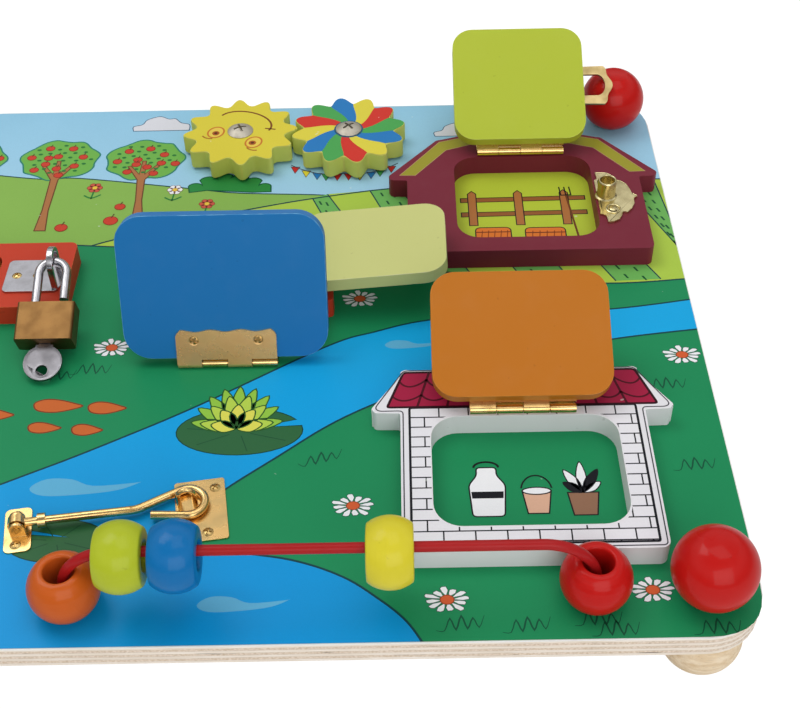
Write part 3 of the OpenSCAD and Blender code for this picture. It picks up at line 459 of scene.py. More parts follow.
def turned(bm, profile, place, steps=72):
    """Turns a profile of (radius, height) in mm about the place's Z axis."""
    rings = []
    closed = profile[0] == profile[-1]
    for r, z in (profile[:-1] if closed else profile):
        circle = [(0, 0)] if r < 1e-6 else arc(0, 0, r * MM, steps=steps)
        rings.append([bm.verts.new(place @ Vector((x, y, z * MM))) for x, y in circle])
    if closed:
        rings.append(rings[0])
    made_faces = []
    for low, high in zip(rings, rings[1:]):
        for i in range(steps):
            j = (i + 1) % steps
            corners = list(dict.fromkeys([low[i % len(low)], low[j % len(low)],
                                          high[j % len(high)], high[i % len(high)]]))
            if len(corners) > 2:
                made_faces.append(bm.faces.new(corners))
    bmesh.ops.recalc_face_normals(bm, faces=made_faces)


def oblong(x0, y0, x1, y1):
    return [(x0, y0), (x1, y0), (x1, y1), (x0, y1)]


def rounded(points, radius, steps=5):
    """Replaces each corner of a closed flat outline with a short curve."""
    out = []
    for i, p in enumerate(points):
        a, b = Vector(points[i - 1]), Vector(points[(i + 1) % len(points)])
        p = Vector(p)
        r = radius[i] if isinstance(radius, (list, tuple)) else radius
        cut_a = min(r, (a - p).length * 0.49)
        cut_b = min(r, (b - p).length * 0.49)
        s, e = p + (a - p).normalized() * cut_a, p + (b - p).normalized() * cut_b
        for k in range(steps + 1):
            t = k / steps
            out.append(tuple(s * (1 - t) ** 2 + p * 2 * t * (1 - t) + e * t * t))
    return out


def polar(r, degrees):
    return (r * math.cos(math.radians(degrees)), r * math.sin(math.radians(degrees)))


def arc(cx, cy, rx, ry=None, start=0, end=360, steps=24):
    """Points along an arc between two angles in degrees, or round a whole ellipse."""
    ry = rx if ry is None else ry
    full = abs(end - start) >= 360
    return [(cx + rx * math.cos(math.radians(start + (end - start) * i / steps)),
             cy + ry * math.sin(math.radians(start + (end - start) * i / steps)))
            for i in range(steps if full else steps + 1)]


def curve(points, steps=6, closed=False):
    """A smooth line through the given points."""
    n = len(points)
    out = []
    for i in range(n if closed else n - 1):
        p = [points[(i + k) % n] if closed else points[min(max(i + k, 0), n - 1)]
             for k in (-1, 0, 1, 2)]
        for s in range(steps):
            t = s / steps
            out.append(tuple(
                0.5 * (2 * b + (c - a) * t + (2 * a - 5 * b + 4 * c - d) * t * t
                       + (3 * b - a - 3 * c + d) * t ** 3)
                for a, b, c, d in zip(*p)))
    if not closed:
        out.append(tuple(points[-1]))
    return out


def blade(angle, length, half, stretch=1.0):
    """A pointed leaf that grows from the origin, at an angle in radians."""
    c, s = math.cos(angle), math.sin(angle)
    return curve([(u * length * c - v * s, u * length * s * stretch + v * c)
                  for u, v in ((0, 0), (0.5, half), (1, 0), (0.5, -half))], 4, True)


class Picture:
    """Flat areas and lines of ink, in thin layers over a face, clipped to it."""

    def __init__(self, window, holes=(), base=BOARD_TOP):
        self.window, self.holes, self.base = window, holes, base
        self.x, self.y, self.size = 0.0, 0.0, 1.0
        self.bm = bmesh.new()
        self.ink = self.bm.loops.layers.float_color.new("ink")

    def at(self, x, y, size=1.0):
        """The same picture, drawn on from another origin and at another size."""
        moved = copy.copy(self)
        moved.x, moved.y = self._placed([(x, y)])[0]
        moved.size = self.size * size
        return moved

    def _placed(self, points):
        return [(self.x + x * self.size, self.y + y * self.size) for x, y in points]

    @staticmethod
    def _cut(poly, a, b, sign=1):
        """The part of a convex polygon left of the line from a to b, or right of it for -1."""
        out = []
        side = [sign * ((b[0] - a[0]) * (p[1] - a[1]) - (b[1] - a[1]) * (p[0] - a[0]))
                for p in poly]
        for i, p in enumerate(poly):
            q, d, e = poly[i - 1], side[i], side[i - 1]
            if (d >= 0) != (e >= 0):
                t = e / (e - d)
                out.append((q[0] + (p[0] - q[0]) * t, q[1] + (p[1] - q[1]) * t))
            if d >= 0:
                out.append(p)
        return out if len(out) > 2 else []

    def _clip(self, poly):
        """The parts of a convex polygon inside the windows and outside the holes."""
        pieces = []
        for window in self.window:
            part = poly
            for i in range(len(window)):
                part = self._cut(part, window[i - 1], window[i])
            pieces.append(part)
        for hole in self.holes:
            kept = []
            for part in pieces:
                for i in range(len(hole)):
                    kept.append(self._cut(part, hole[i - 1], hole[i], -1))
                    part = self._cut(part, hole[i - 1], hole[i])
            pieces = kept
        return [part for part in pieces if part]

    def _lay(self, poly, colour, layer):
        z = (self.base + LAYER * layer) * MM
        for part in self._clip(poly):
            area = sum(part[i - 1][0] * p[1] - p[0] * part[i - 1][1]
                       for i, p in enumerate(part))
            if abs(area) < 1e-3:
                continue
            verts = [self.bm.verts.new((x * MM, y * MM, z)) for x, y in part]
            for loop in self.bm.faces.new(verts if area > 0 else verts[::-1]).loops:
                x, y, _ = loop.vert.co / MM
                loop[self.ink] = colour(x, y) if callable(colour) else colour

    def fill(self, points, colour, layer=1, line=0.0, edge=OUTLINE):
        """An area of ink, with a line of another ink round it if asked."""
        placed = self._placed(points)
        for tri in tessellate_polygon([[Vector((x, y, 0)) for x, y in placed]]):
            self._lay([placed[i] for i in tri], colour, layer)
        if line:
            self.stroke(list(points) + [points[0]], line, edge, layer + 0.5)

    def stroke(self, points, width, colour=OUTLINE, layer=2, taper=False):
        """A ribbon of ink along a line, with mitred joints."""
        spots = [Vector(p) for p in self._placed(points)]
        pts = [p for i, p in enumerate(spots) if i == 0 or (p - spots[i - 1]).length > 1e-4]
        if len(pts) < 2:
            return
        loop = (pts[0] - pts[-1]).length < 1e-4
        left, right = [], []
        for i, p in enumerate(pts):
            before = pts[i - 1] if i else (pts[-2] if loop else None)
            after = pts[i + 1] if i < len(pts) - 1 else (pts[1] if loop else None)
            d1 = (p - before).normalized() if before is not None else (after - p).normalized()
            d2 = (after - p).normalized() if after is not None else d1
            d = d1 + d2
            d = d.normalized() if d.length > 1e-6 else d2
            w = width / 2 / max(0.5, abs(d.dot(d1)))
            if taper:
                w *= 0.25 + 0.75 * math.sin(math.pi * (i + 0.5) / len(pts))
            across = Vector((-d.y, d.x)) * w
            left.append(tuple(p + across))
            right.append(tuple(p - across))
        for i in range(len(pts) - 1):
            self._lay([right[i], right[i + 1], left[i + 1], left[i]], colour, layer)

    def dot(self, x, y, r, colour, layer=2, line=0.0, ry=None, edge=OUTLINE):
        self.fill(arc(x, y, r, ry, steps=20), colour, layer, line, edge)

    def piece(self, name, body, slot):
        bmesh.ops.remove_doubles(self.bm, verts=self.bm.verts, dist=1e-6)
        deliver(name, self.bm, MAT["ink"], body=body)


MAT = {}

# ---- The board's printed landscape, in mm on the board ----


def tree_print(pic, x, top, foot, lean=0.0):
    """An apple tree with a forked trunk and a wavy crown."""
    size = 17.5
    pic = pic.at(x, 0)
    trunk = [(lean - 2.2, foot), (lean * 0.5 - 1.3, foot + 14), (-1.6, top - 15),
             (-7, top - 5), (-5.6, top - 4.6), (-1.2, top - 11), (-0.8, top - 1), (0.8, top - 1),
             (1.3, top - 11), (6, top - 4), (7.2, top - 5), (1.8, top - 15),
             (lean * 0.5 + 1.4, foot + 14), (lean + 2.6, foot)]
    pic.fill(trunk, rgb(176, 116, 70), 7, 0.5, rgb(110, 66, 40))
    crown = [(size * math.cos(a) * (1 + 0.06 * math.sin(7 * a + x)),
              top + size * 0.84 * math.sin(a) * (1 + 0.07 * math.cos(7 * a + x)))
             for a in (2 * math.pi * i / 28 for i in range(28))]
    pic.fill(curve(crown, 3, True), rgb(114, 180, 78), 5, 0.7, rgb(40, 130, 110))
    for k in range(33):
        a, r = k * 2.4 + x, size * 0.86 * math.sqrt((k + 0.5) / 33)
        px, py = r * math.cos(a), top + 0.8 * r * math.sin(a)
        if k % 3 == 1:
            apple(pic, px, py, 2.0)
        else:
            pic.dot(px, py, 1.0, rgb(44, 120, 56), 8, ry=0.7)


def daisy(pic, r=7.6):
    """An oxeye daisy seen at a slant, as a child's print draws it."""
    for k in range(12):
        a = 2 * math.pi * (k + 0.25) / 12
        c, s = math.cos(a), math.sin(a)
        tip = 0.94 + 0.1 * math.sin(k * 2.7)
        petal = [(r * u * tip, r * v) for u, v in
                 ((0.26, 0), (0.6, 0.13), (0.88, 0.18), (1.0, 0.08), (1.0, -0.1), (0.7, -0.15))]
        pic.fill([(u * c - v * s, 0.66 * (u * s + v * c)) for u, v in petal], WHITE, 8.4, 0.22,
                 rgb(40, 90, 76))
    pic.dot(0, 0, r * 0.3, rgb(216, 96, 52), 9.2, 0.3, r * 0.24, rgb(150, 60, 30))


def tuft(pic, turn):
    """Short strokes of grass, drawn without lifting the pen."""
    line = [(-8.8, -2.6)]
    for k in range(4):
        u = 11 * (k / 3 - 0.5)
        line += [(u - 0.6, turn * u - 2.2),
                 (u + 1.2, turn * u + 2.4 + 0.7 * math.sin(k * 2.1))]
    pic.stroke(curve(line, 3), 0.6, rgb(20, 84, 60), 7, True)


def cloud_print(pic):
    bumps = [(-13, -3), (-13.4, 0.5), (-9.4, 2.2), (-7.5, 6), (-2, 8.6), (2.6, 6.4), (5.6, 6.6),
             (8.6, 3.2), (12.6, 1.6), (13, -3)]
    pic.fill(curve(bumps, 5) + [bumps[0]], CLOUD, 3, 0.4, rgb(60, 90, 120))


def lily(pic, w=23, h=11.5, notch=20):
    """A lily pad with its notch and veins."""
    pad = arc(0, 0, w, h, notch + 8, notch + 352, 34) + [(0.25 * w, 0.15 * h)]
    pic.fill(pad, rgb(50, 104, 62), 8.4, 0.4, rgb(24, 66, 50))
    for a in (60, 110, 170, 220, 280, 330):
        c, s = w * math.cos(math.radians(a)), h * math.sin(math.radians(a))
        pic.stroke([(0.2 * c, 0.2 * s), (0.85 * c, 0.85 * s)], 0.35, rgb(34, 82, 52), 9)


def water_flower(pic):
    """A plain water lily bloom on its pad."""
    for ring, count, colour, layer in ((17, 9, rgb(150, 200, 70), 9.2),
                                       (13.5, 6, rgb(186, 214, 80), 9.8),
                                       (9.5, 5, rgb(226, 222, 90), 10.4)):
        for k in range(count):
            a = math.pi * (0.05 + 0.9 * k / (count - 1))
            pic.fill(blade(a, ring, 2.9, 1.25), colour, layer, 0.5, rgb(44, 92, 40))


def apple(pic, x, y, r):
    pic.dot(x, y, r, rgb(206, 66, 46), 8, 0.35, 0.92 * r, rgb(150, 34, 30))
    pic.stroke([(x, y + 0.6 * r), (x + 0.3 * r, y + 1.5 * r)], 0.45, rgb(90, 60, 40), 8.8)


def meadow_flower(pic, colour):
    stem = rgb(40, 128, 60)
    pic.stroke([(0, -2), (-0.6, -8)], 0.7, stem, 4.6)
    pic.stroke(curve([(-4, -5.4), (-0.5, -7.4), (3.4, -5)], 4), 0.8, stem, 4.6)
    for x, y in arc(0, 0, 2.1, steps=6):
        pic.dot(x, y, 1.35, colour, 5, 0.2, edge=rgb(120, 40, 36))
    pic.dot(0, 0, 1.2, rgb(240, 200, 70), 6, 0.2, edge=rgb(150, 100, 40))


def bunting(pic, a, b):
    """A sagging string of small triangular flags."""
    sag, count, cord = 3, 5, rgb(60, 60, 80)
    line = [(a[0] + (b[0] - a[0]) * t, a[1] + (b[1] - a[1]) * t - sag * 4 * t * (1 - t))
            for t in (i / 24 for i in range(25))]
    inks = (rgb(204, 44, 40), rgb(226, 210, 60), rgb(40, 120, 190), rgb(70, 160, 80))
    w = (b[0] - a[0]) / count * 0.42
    for k in range(count):
        x, y = line[round((k + 0.5) / count * 23)]
        pic.fill([(x - w, y + 0.2), (x, y - 2.4 * w), (x + w, y - 0.1)], inks[k % 4], 3.4, 0.3,
                 cord)
    pic.stroke(line, 0.5, cord, 4.2)


STRIPES = (  # top and bottom of each border between the field's stripes
    ((31, 76), (42, 42)), ((46.6, 79), (62, 40)), ((53, 82), (76, 35)), ((71.6, 84), (92, 31)),
    ((84, 86), (113.4, 26.5)), ((103, 87.5), (133.4, 25)), ((120, 88), (153.4, 23)),
    ((139, 88), (171.7, 20.8)), ((157, 88), (190, 21.5)), ((181, 88), (205, 30)),
    ((196.6, 88.4), (201, 50)), ((214, 88.6), (216, 50)))


def stripe_fields(pic):
    """The field's stripes in two greens, with rows of short dark marks."""
    for i, ((a, b), (c, d)) in enumerate(zip(STRIPES, STRIPES[1:])):
        green = i % 2 == 1
        pic.fill([b, d, c, a], FIELD if green else LIME_FIELD, 4.4)
        pic.stroke([c, d], 0.6, OUTLINE, 5)
        rows = int((a[1] - b[1]) / 5.6) if green else 0
        lean = 1.3 * (b[0] - a[0]) / (a[1] - b[1])
        for row in range(rows):
            for side, down in ((0.32, 0), (0.68, 0.02)):
                t = (row + 0.5) / rows + down
                x0, x1 = a[0] + (b[0] - a[0]) * t, c[0] + (d[0] - c[0]) * t
                mark = pic.at(x0 + (x1 - x0) * side, a[1] + (b[1] - a[1]) * t)
                mark.fill([(-lean - 0.45, 1.3), (lean - 0.45, -1.3), (lean + 0.45, -1.3),
                           (0.45 - lean, 1.3)], rgb(26, 84, 50), 5)


def shaded(a, b, t):
    """The colour that lies a share t of the way from a to b."""
    t = min(1, max(0, t))
    return tuple(p + (q - p) * t for p, q in zip(a, b))


def draw_board(pic):
    """Sky, hill, striped field, meadow, river and pond, with what grows there."""
    rust = rgb(206, 90, 70)
    pic.fill(oblong(-200, 40, 200, 150), lambda x, y: shaded(SKY, SKY_LOW, (150 - y) / 70), 0.6)
    for place in ((-26, 136), (113, 127, 0.9), (-132, 128, 1.2)):
        cloud_print(pic.at(*place))
    hill = curve([(-200, 92), (-165, 104), (-120, 104), (-76, 97), (-58, 97), (-8, 88), (14, 84),
                  (51.5, 81.4), (60, 78)])
    pic.fill(hill + [(60, 40), (-200, 40)], HILL, 2)
    pic.stroke(hill, 0.7, OUTLINE, 3)
    bush = [(-8, 85)]
    for x, y, r in ((-5.6, 88.6, 3.4), (0, 92.4, 4.4), (6.6, 94.6, 4.4), (13.4, 93.6, 4.4),
                    (20, 91.6, 3.8), (25, 88, 3)):
        bush += arc(x, y, r, r * 0.9, 160, 20, 7)
    pic.fill(bush + [(28, 84.6), (20, 84.4), (0, 86.4)], rgb(46, 138, 66), 3.5, 0.6,
             rgb(20, 92, 56))
    # The field rises towards the barn
    top = curve([(-46, 49), (-36.7, 53), (-10, 63), (16.3, 71.3), (48.9, 79.5), (88, 86),
                 (140, 88), (200, 88.6)])
    low = curve([(-200, 44), (-140, 52), (-67, 50.6), (-37, 48.4), (0, 45.5), (40, 41),
                 (80, 33), (120, 25), (166.7, 19.4), (200, 21.2)])
    pic.fill(top + [(200, 15), (120, 20), (60, 30), (-46, 44)], LIME_FIELD, 3)
    pic.stroke(top, 0.8, OUTLINE, 6)
    stripe_fields(pic)
    for x, y, colour in ((-50.3, 89.7, rust), (-14.5, 87.2, WHITE), (0.6, 76.7, rust),
                         (-96, 88, WHITE), (-128, 76, rust), (-140, 92, WHITE)):
        meadow_flower(pic.at(x, y), colour)
    pic.fill(low + [(200, -150), (-200, -150)], MEADOW, 6)
    pic.stroke(low, 0.8, OUTLINE, 7)
    bunting(pic, (36, 104), (60, 97))
    bunting(pic, (60, 97), (84, 104))
    for tree in ((-69.6, 111.3, 60), (-30.7, 110.1, 66, 2), (-112, 112, 66, -1),
                 (-160, 110, 62, 1)):
        tree_print(pic, *tree)
    for x, y, r in ((-37.2, 75.7, 2.3), (-39.9, 66, 3.1), (-60.5, 61.8, 2.7), (-104, 64, 3),
                    (-122, 60, 2.6), (-154, 58, 3)):
        apple(pic, x, y, r)
    # The river runs from the right down to the pond in the foreground
    shore = curve([(205, 9.6), (168.5, 3.9), (130, 2.2), (95.9, -0.6), (74, -7), (55.3, -14.9),
                   (9.6, -44.8), (-16, -60), (-44.1, -75.3), (-76, -90), (-120, -100),
                   (-205, -108)], 7)
    near = curve([(205, -8), (167.1, -13.3), (130, -22), (95, -36.5), (76, -45), (58.1, -56),
                  (40, -71), (22.4, -86), (14, -96), (12, -106), (22, -112), (46.6, -116.8),
                  (64, -124), (76.5, -133.5), (85, -142), (91, -152)], 7)
    pic.fill(shore + [(-205, -155), (91, -155)] + near[::-1],
             lambda x, y: shaded(RIVER, POND, (-20 - y) / 90), 7.6)
    pic.stroke(shore, 0.8, OUTLINE, 8.2)
    pic.stroke(near, 0.8, OUTLINE, 8.2)
    drop = curve([(-14, 0), (-10, 3.2), (-3, 3), (3, 0.6), (14, 1.4), (16, 1.8), (10, -1),
                  (0, -2.4), (-10, -2.6)], 4, True)
    for place in ((88.6, -14.6, 0.75), (31.4, -134.5), (-28, -84, 1.3), (-92, -138, 1.2),
                  (-90, -112, 0.9)):
        pic.at(*place).fill(drop, GLINT, 8.4)
    lily(pic.at(25.3, -58.5))
    water_flower(pic.at(24, -57))
    lily(pic.at(-32.8, -107.2), 17, 9, 150)
    lily(pic.at(-140, -122), 20, 10, 40)
    for x, y, w, h in ((-43.2, -44, 9, 3.3), (-24.8, -45.5, 7, 3), (-46.3, -55, 6, 2.6),
                       (-30.5, -56.4, 5.6, 2.7), (-66, -48, 7, 3), (-80, -60, 6, 2.6)):
        leaf = [(w * u, h * v) for u, v in ((-1, 0.4), (-0.6, 1), (0, 0.9), (0.7, 0.3),
                                            (1, -0.2), (0, -1), (-0.8, -0.7))]
        pic.at(x, y).fill(curve(leaf, 4, True), ORANGE, 7, 0.5, rgb(128, 52, 28))
    for place in ((-27.7, -13.3), (68.1, 12.6), (191.5, -22.8), (67.1, -94.2), (98.1, -133.9),
                  (164.7, -131.4), (5, 25), (24, 32), (-98, -30), (-160, -50), (-120, 20)):
        daisy(pic.at(*place))
    for x, y, turn in ((184, -38, 0), (188, -78, 0.05), (56, -72, 0.3), (84, -104, 0),
                       (103, -143, 0.1), (147, -142, 0), (152, -146, 0), (184, -146, 0),
                       (124, -144, 0.1), (-33, -25, 0), (-46, -28, 0.1), (-10, 30, 0),
                       (70, 25, 0.2), (-140, -20, 0), (-180, 10, 0), (-176, -86, 0.1),
                       (-110, -76, 0)):
        tuft(pic.at(x, y), turn)
    draw_barn_scene(pic.at(BARN_X, 66))
    draw_house_scene(pic.at(BRICK_X, -88))


def draw_barn_scene(pic):
    """Hay bales, a pitchfork and a rail fence behind the barn's door."""
    pic.fill(rounded(oblong(-33, -29, 33, 30), 8), rgb(184, 200, 60), 6.8)
    for y in (-2, 8):
        pic.fill([(-27, y), (27, y + 0.8), (27, y + 3.6), (-27, y + 3)], rgb(150, 92, 48), 7,
                 0.45, INK)
    for x in (-22, -2, 18):
        pic.fill([(x - 1.8, -8), (x + 1.8, -8), (x + 1.8, 14), (x, 16), (x - 1.8, 14)],
                 rgb(176, 112, 60), 7.6, 0.45, INK)
    for x, y, w, h in ((-14, -15, 15, 11), (8, -16, 17, 12)):
        bale = pic.at(x, y)
        bale.fill(rounded(oblong(-w / 2, -h / 2, w / 2, h / 2), 2.5), rgb(226, 122, 48), 8.2, 0.5,
                  INK)
        for k in range(5):
            u = w * (k + 0.8) / 5.6 - w / 2
            bale.stroke([(u, -h * 0.36), (u + 0.8, h * 0.32)], 0.4, rgb(150, 66, 24), 9)
        for v in (-0.22 * h, 0.22 * h):
            bale.stroke([(-w / 2, v), (w / 2, v)], 0.6, rgb(110, 50, 24), 9.2)
    pic.stroke([(22, -20), (19, 12)], 0.9, rgb(110, 60, 30), 8.6)
    for s in (-2.2, 0, 2.2):
        pic.stroke([(19 + s, 12), (18.6 + s, 18)], 0.6, INK, 8.6)
    pic.stroke([(16.6, 12), (21.4, 12.3)], 0.7, INK, 8.8)


def draw_house_scene(pic):
    """A milk churn, a pail and a potted plant behind the brick house's door."""
    churn, pail, pot = pic.at(-14, 0), pic.at(3, -5), pic.at(19, -5)
    churn.fill(rounded([(-5.5, -12), (5.5, -12), (6.4, 2), (3.4, 6.5), (3.6, 10), (-3.6, 10),
                        (-3.4, 6.5), (-6.4, 2)], 1.6), WHITE, 8, 0.55, INK)
    churn.fill([(-5.4, -4), (5.4, -4), (5.6, -1), (-5.6, -1)], INK, 9)
    churn.stroke(arc(0, 10, 4.4, 2.6, 0, 180, 10), 0.8, INK, 9)
    pail.fill([(-5, 4), (5, 4), (3.6, -6), (-3.6, -6)], rgb(225, 178, 150), 8, 0.5, INK)
    pail.fill(arc(0, 4, 5, 1.6), WHITE, 8.8, 0.5, INK)
    pail.stroke(arc(0, 4, 5.4, 7, 10, 170, 12), 0.6, INK, 9.4)
    pot.fill([(-5.4, 3), (5.4, 3), (4, -7), (-4, -7)], rgb(150, 110, 86), 8, 0.5, INK)
    for a, length, colour in ((60, 12, INK), (90, 14, WHITE), (120, 12, WHITE), (35, 8, WHITE),
                              (145, 8, INK)):
        pot.at(0, 3).fill(blade(math.radians(a), length, 1.8), colour, 8.6, 0.4, INK)


def house_window_hole(cx, axis_y, w, d):
    """The rounded window under a door, a little larger, from the door's hinge and size."""
    grow, gap, corner = 0.8, 2.4, 9.8
    return rounded(oblong(cx - w / 2 - grow, axis_y - gap - d - grow, cx + w / 2 + grow,
                          axis_y - gap + grow), corner, 8)


def draw_brick_house():
    """The bricks of the wall, the tiles of the roof and the line round the house."""
    cx, front, low, high = BRICK_X, -121.1, -56.9, -38.4  # wall's foot, eave and ridge
    wide, narrow, wall = 49.2, 42.8, 40.5  # half widths at the eave, ridge and wall
    hole = [(cx + (x - cx) * 1.012, -84 + (y + 84) * 1.02)
            for x, y in house_window_hole(cx, -59.7, 64.5, 48)]
    field = rounded(oblong(-wall, front + 2.6, wall, low), 0.8, 3)
    pic = Picture([oblong(cx - 42.9, front, cx + 42.9, low)], [hole], FRAME_TOP).at(cx, 0)
    pic.fill(field, PAPER, 1)
    row, brick_l, brick_h = 0, 10.5, 4.68
    y = low
    while y > front + 3:
        pic.stroke([(-wall, y), (wall, y)], 0.5, INK, 2)
        x = -wall + (brick_l / 2 if row % 2 else brick_l)
        while x < wall - 1:
            pic.stroke([(x, max(y - brick_h, front + 2.6)), (x, y)], 0.5, INK, 2)
            x += brick_l
        y -= brick_h
        row += 1
    pic.stroke(field + [field[0]], 0.85, INK, 3)
    pic.piece("brick_house_bricks", "root", "white_print")

    def at(u, t):
        """A point of the roof: u from -1 to 1 across, t from the eave to the top."""
        return (u * (wide + (narrow - wide) * t), low + (high - low) * t)
    roof = rounded([at(-1, 0), at(1, 0), at(1, 1), at(-1, 1)], 1.9, 5)
    tiles = Picture([[(cx + x, y) for x, y in roof]], [hole], FRAME_TOP).at(cx, 0)
    tiles.fill(roof, rgb(166, 30, 66), 1)
    dark = rgb(84, 12, 30)
    tiles.stroke(roof + [roof[0]], 1.9, rgb(50, 10, 22), 2.5)
    edges = [-1] + [(k + 0.5) * 0.2196 for k in range(-4, 4)] + [1]
    for a, b in zip(edges, edges[1:]):
        for t, sag in ((0.36, 0.16), (0.78, 0.2)):
            tiles.stroke([at(a + (b - a) * i / 12, t - sag * math.sin(math.pi * i / 12) ** 0.8)
                          for i in range(13)], 0.8, dark, 2)
        if b < 1:
            tiles.stroke([at(b, -0.02), at(b, 1.02)], 0.9, dark, 2)
    half = [(42.8, front + 1.0), (42.8, -58.2), (51.6, -58.2), (52.9, -56.6), (42.4, -37.9)]
    rim = rounded([(-u, v) for u, v in half] + half[::-1], 1.6, 4)
    tiles.window = [oblong(cx - 60, front, cx + 60, -37)]
    tiles.stroke(rim + [rim[0]], 0.42, rgb(60, 58, 66), 3.4)
    tiles.piece("brick_house_tiles", "root", "white_print")


def draw_barn():
    """The yellow band that follows the barn's roof, with a thin paler line round it as a painted
    highlight.
    """
    half = [(-53.2, 82.6), (-35.4, 106.8), (0, 117.6), (0, 112.2), (-32.6, 100.6), (-46.4, 82.4)]
    other = [(-u, v) for u, v in half]
    band = half[:3] + other[1::-1] + other[:3:-1] + half[3:]
    pic = Picture([oblong(BARN_X - 60, 30, BARN_X + 60, 119)],
                  [house_window_hole(BARN_X, 96.6, 57.5, 54.2)], FRAME_TOP).at(BARN_X, 0)
    pic.fill(band, rgb(156, 150, 46), 1)
    # A thin paler line round the band: a painted highlight along its edge.
    pic.stroke(band + [band[0]], 0.25, rgb(190, 150, 110), 2)
    pic.piece("barn_roof_band", "root", "maroon_paint")


def gear_edge(phase, sharp, angle):
    """A point just inside a gear's wavy edge, about its own middle."""
    lift = ((1 + math.cos(RAYS * math.radians(angle - phase))) / 2) ** sharp
    inside = 0.45
    return polar(GEAR_R - RAY_DEPTH * (1 - lift) - inside, angle)


def gear_picture(x, phase, sharp, colour):
    """A picture on a gear's face, filled up to the wavy edge."""
    pic = Picture([arc(x, GEAR_Y, 30, steps=24)], [], GEAR_TOP).at(x, GEAR_Y)
    pic.fill([gear_edge(phase, sharp, a * 2.5) for a in range(144)], colour, 1)
    return pic


def draw_sun():
    """A simple smiling face on the sun gear."""
    pic = gear_picture(SUN_X, 5, 1.25, rgb(224, 208, 66))
    brown, turn = rgb(128, 72, 30), math.radians(-25)

    def at(u, v):
        return (u * math.cos(turn) - v * math.sin(turn), u * math.sin(turn) + v * math.cos(turn))
    smile = [at(-1.2 + 12.8 * math.cos(a), 6.6 + 8.6 * math.sin(a))
             for a in (math.pi * i / 26 for i in range(-1, 26))]
    pic.stroke(smile, 0.9, brown, 2)
    pic.stroke([at(9.2, 6.4), at(14, 7.6)], 0.8, brown, 2)
    for side in (-1, 1):
        ring = [at(*p) for p in arc(side * 9.7, -5.2, 3.5, 4.2)]
        pic.fill(ring, rgb(236, 206, 84), 2, 0.8, rgb(206, 124, 44))
        pic.dot(*at(side * 9.4, -5.8), 1.7, rgb(176, 92, 36), 3)
        pic.dot(*at(side * 9.4, -5.8), 0.8, rgb(92, 44, 20), 3.6)
        pic.stroke([at(side * 11.4 + u, -10.8 + 0.12 * u * u) for u in (-2.6, -1.2, 0, 1.2, 2.6)],
                   0.8, rgb(176, 112, 40), 2)
    pic.piece("sun_face", "sun_gear", "yellow_print")


def draw_pinwheel():
    """Twelve petals in four inks, which lean back towards the hub."""
    phase, sharp, hub, bend = 10.0, 0.8, 6.0, 19.9
    pic = gear_picture(PINWHEEL_X, phase, sharp, rgb(206, 200, 110))
    inks = [rgb(42, 124, 190), rgb(226, 212, 72), rgb(212, 56, 44), rgb(78, 166, 84)]

    def side(a, gap):
        """One edge of a petal."""
        return [polar(hub + (bend - hub) * t, a - 24 * (1 - t) ** 1.5 + gap)
                for t in (i / 6 for i in range(7))]
    step = 360 / RAYS
    for k in range(RAYS):
        a0, a1 = phase + step * (k - 0.5), phase + step * (k + 0.5)
        rim = [gear_edge(phase, sharp, a0 + step * i / 14) for i in range(15)]
        pic.fill(side(a0, 0.05) + rim + side(a1, -0.05)[::-1], inks[(15 - k) % 4], 2)
    pic.dot(0, 0, 6.6, rgb(40, 90, 120), 3)
    pic.piece("pinwheel_petals", "pinwheel_gear", "pinwheel_print")


# ---- Screws and rivets ----


SIZES = (("Head Radius", 0.0019), ("Head Height", 0.0007), ("Shank Radius", 0.0009),
         ("Shank Length", 0.003), ("Slot Width", 0.0005), ("Slot Length", 0.0022))


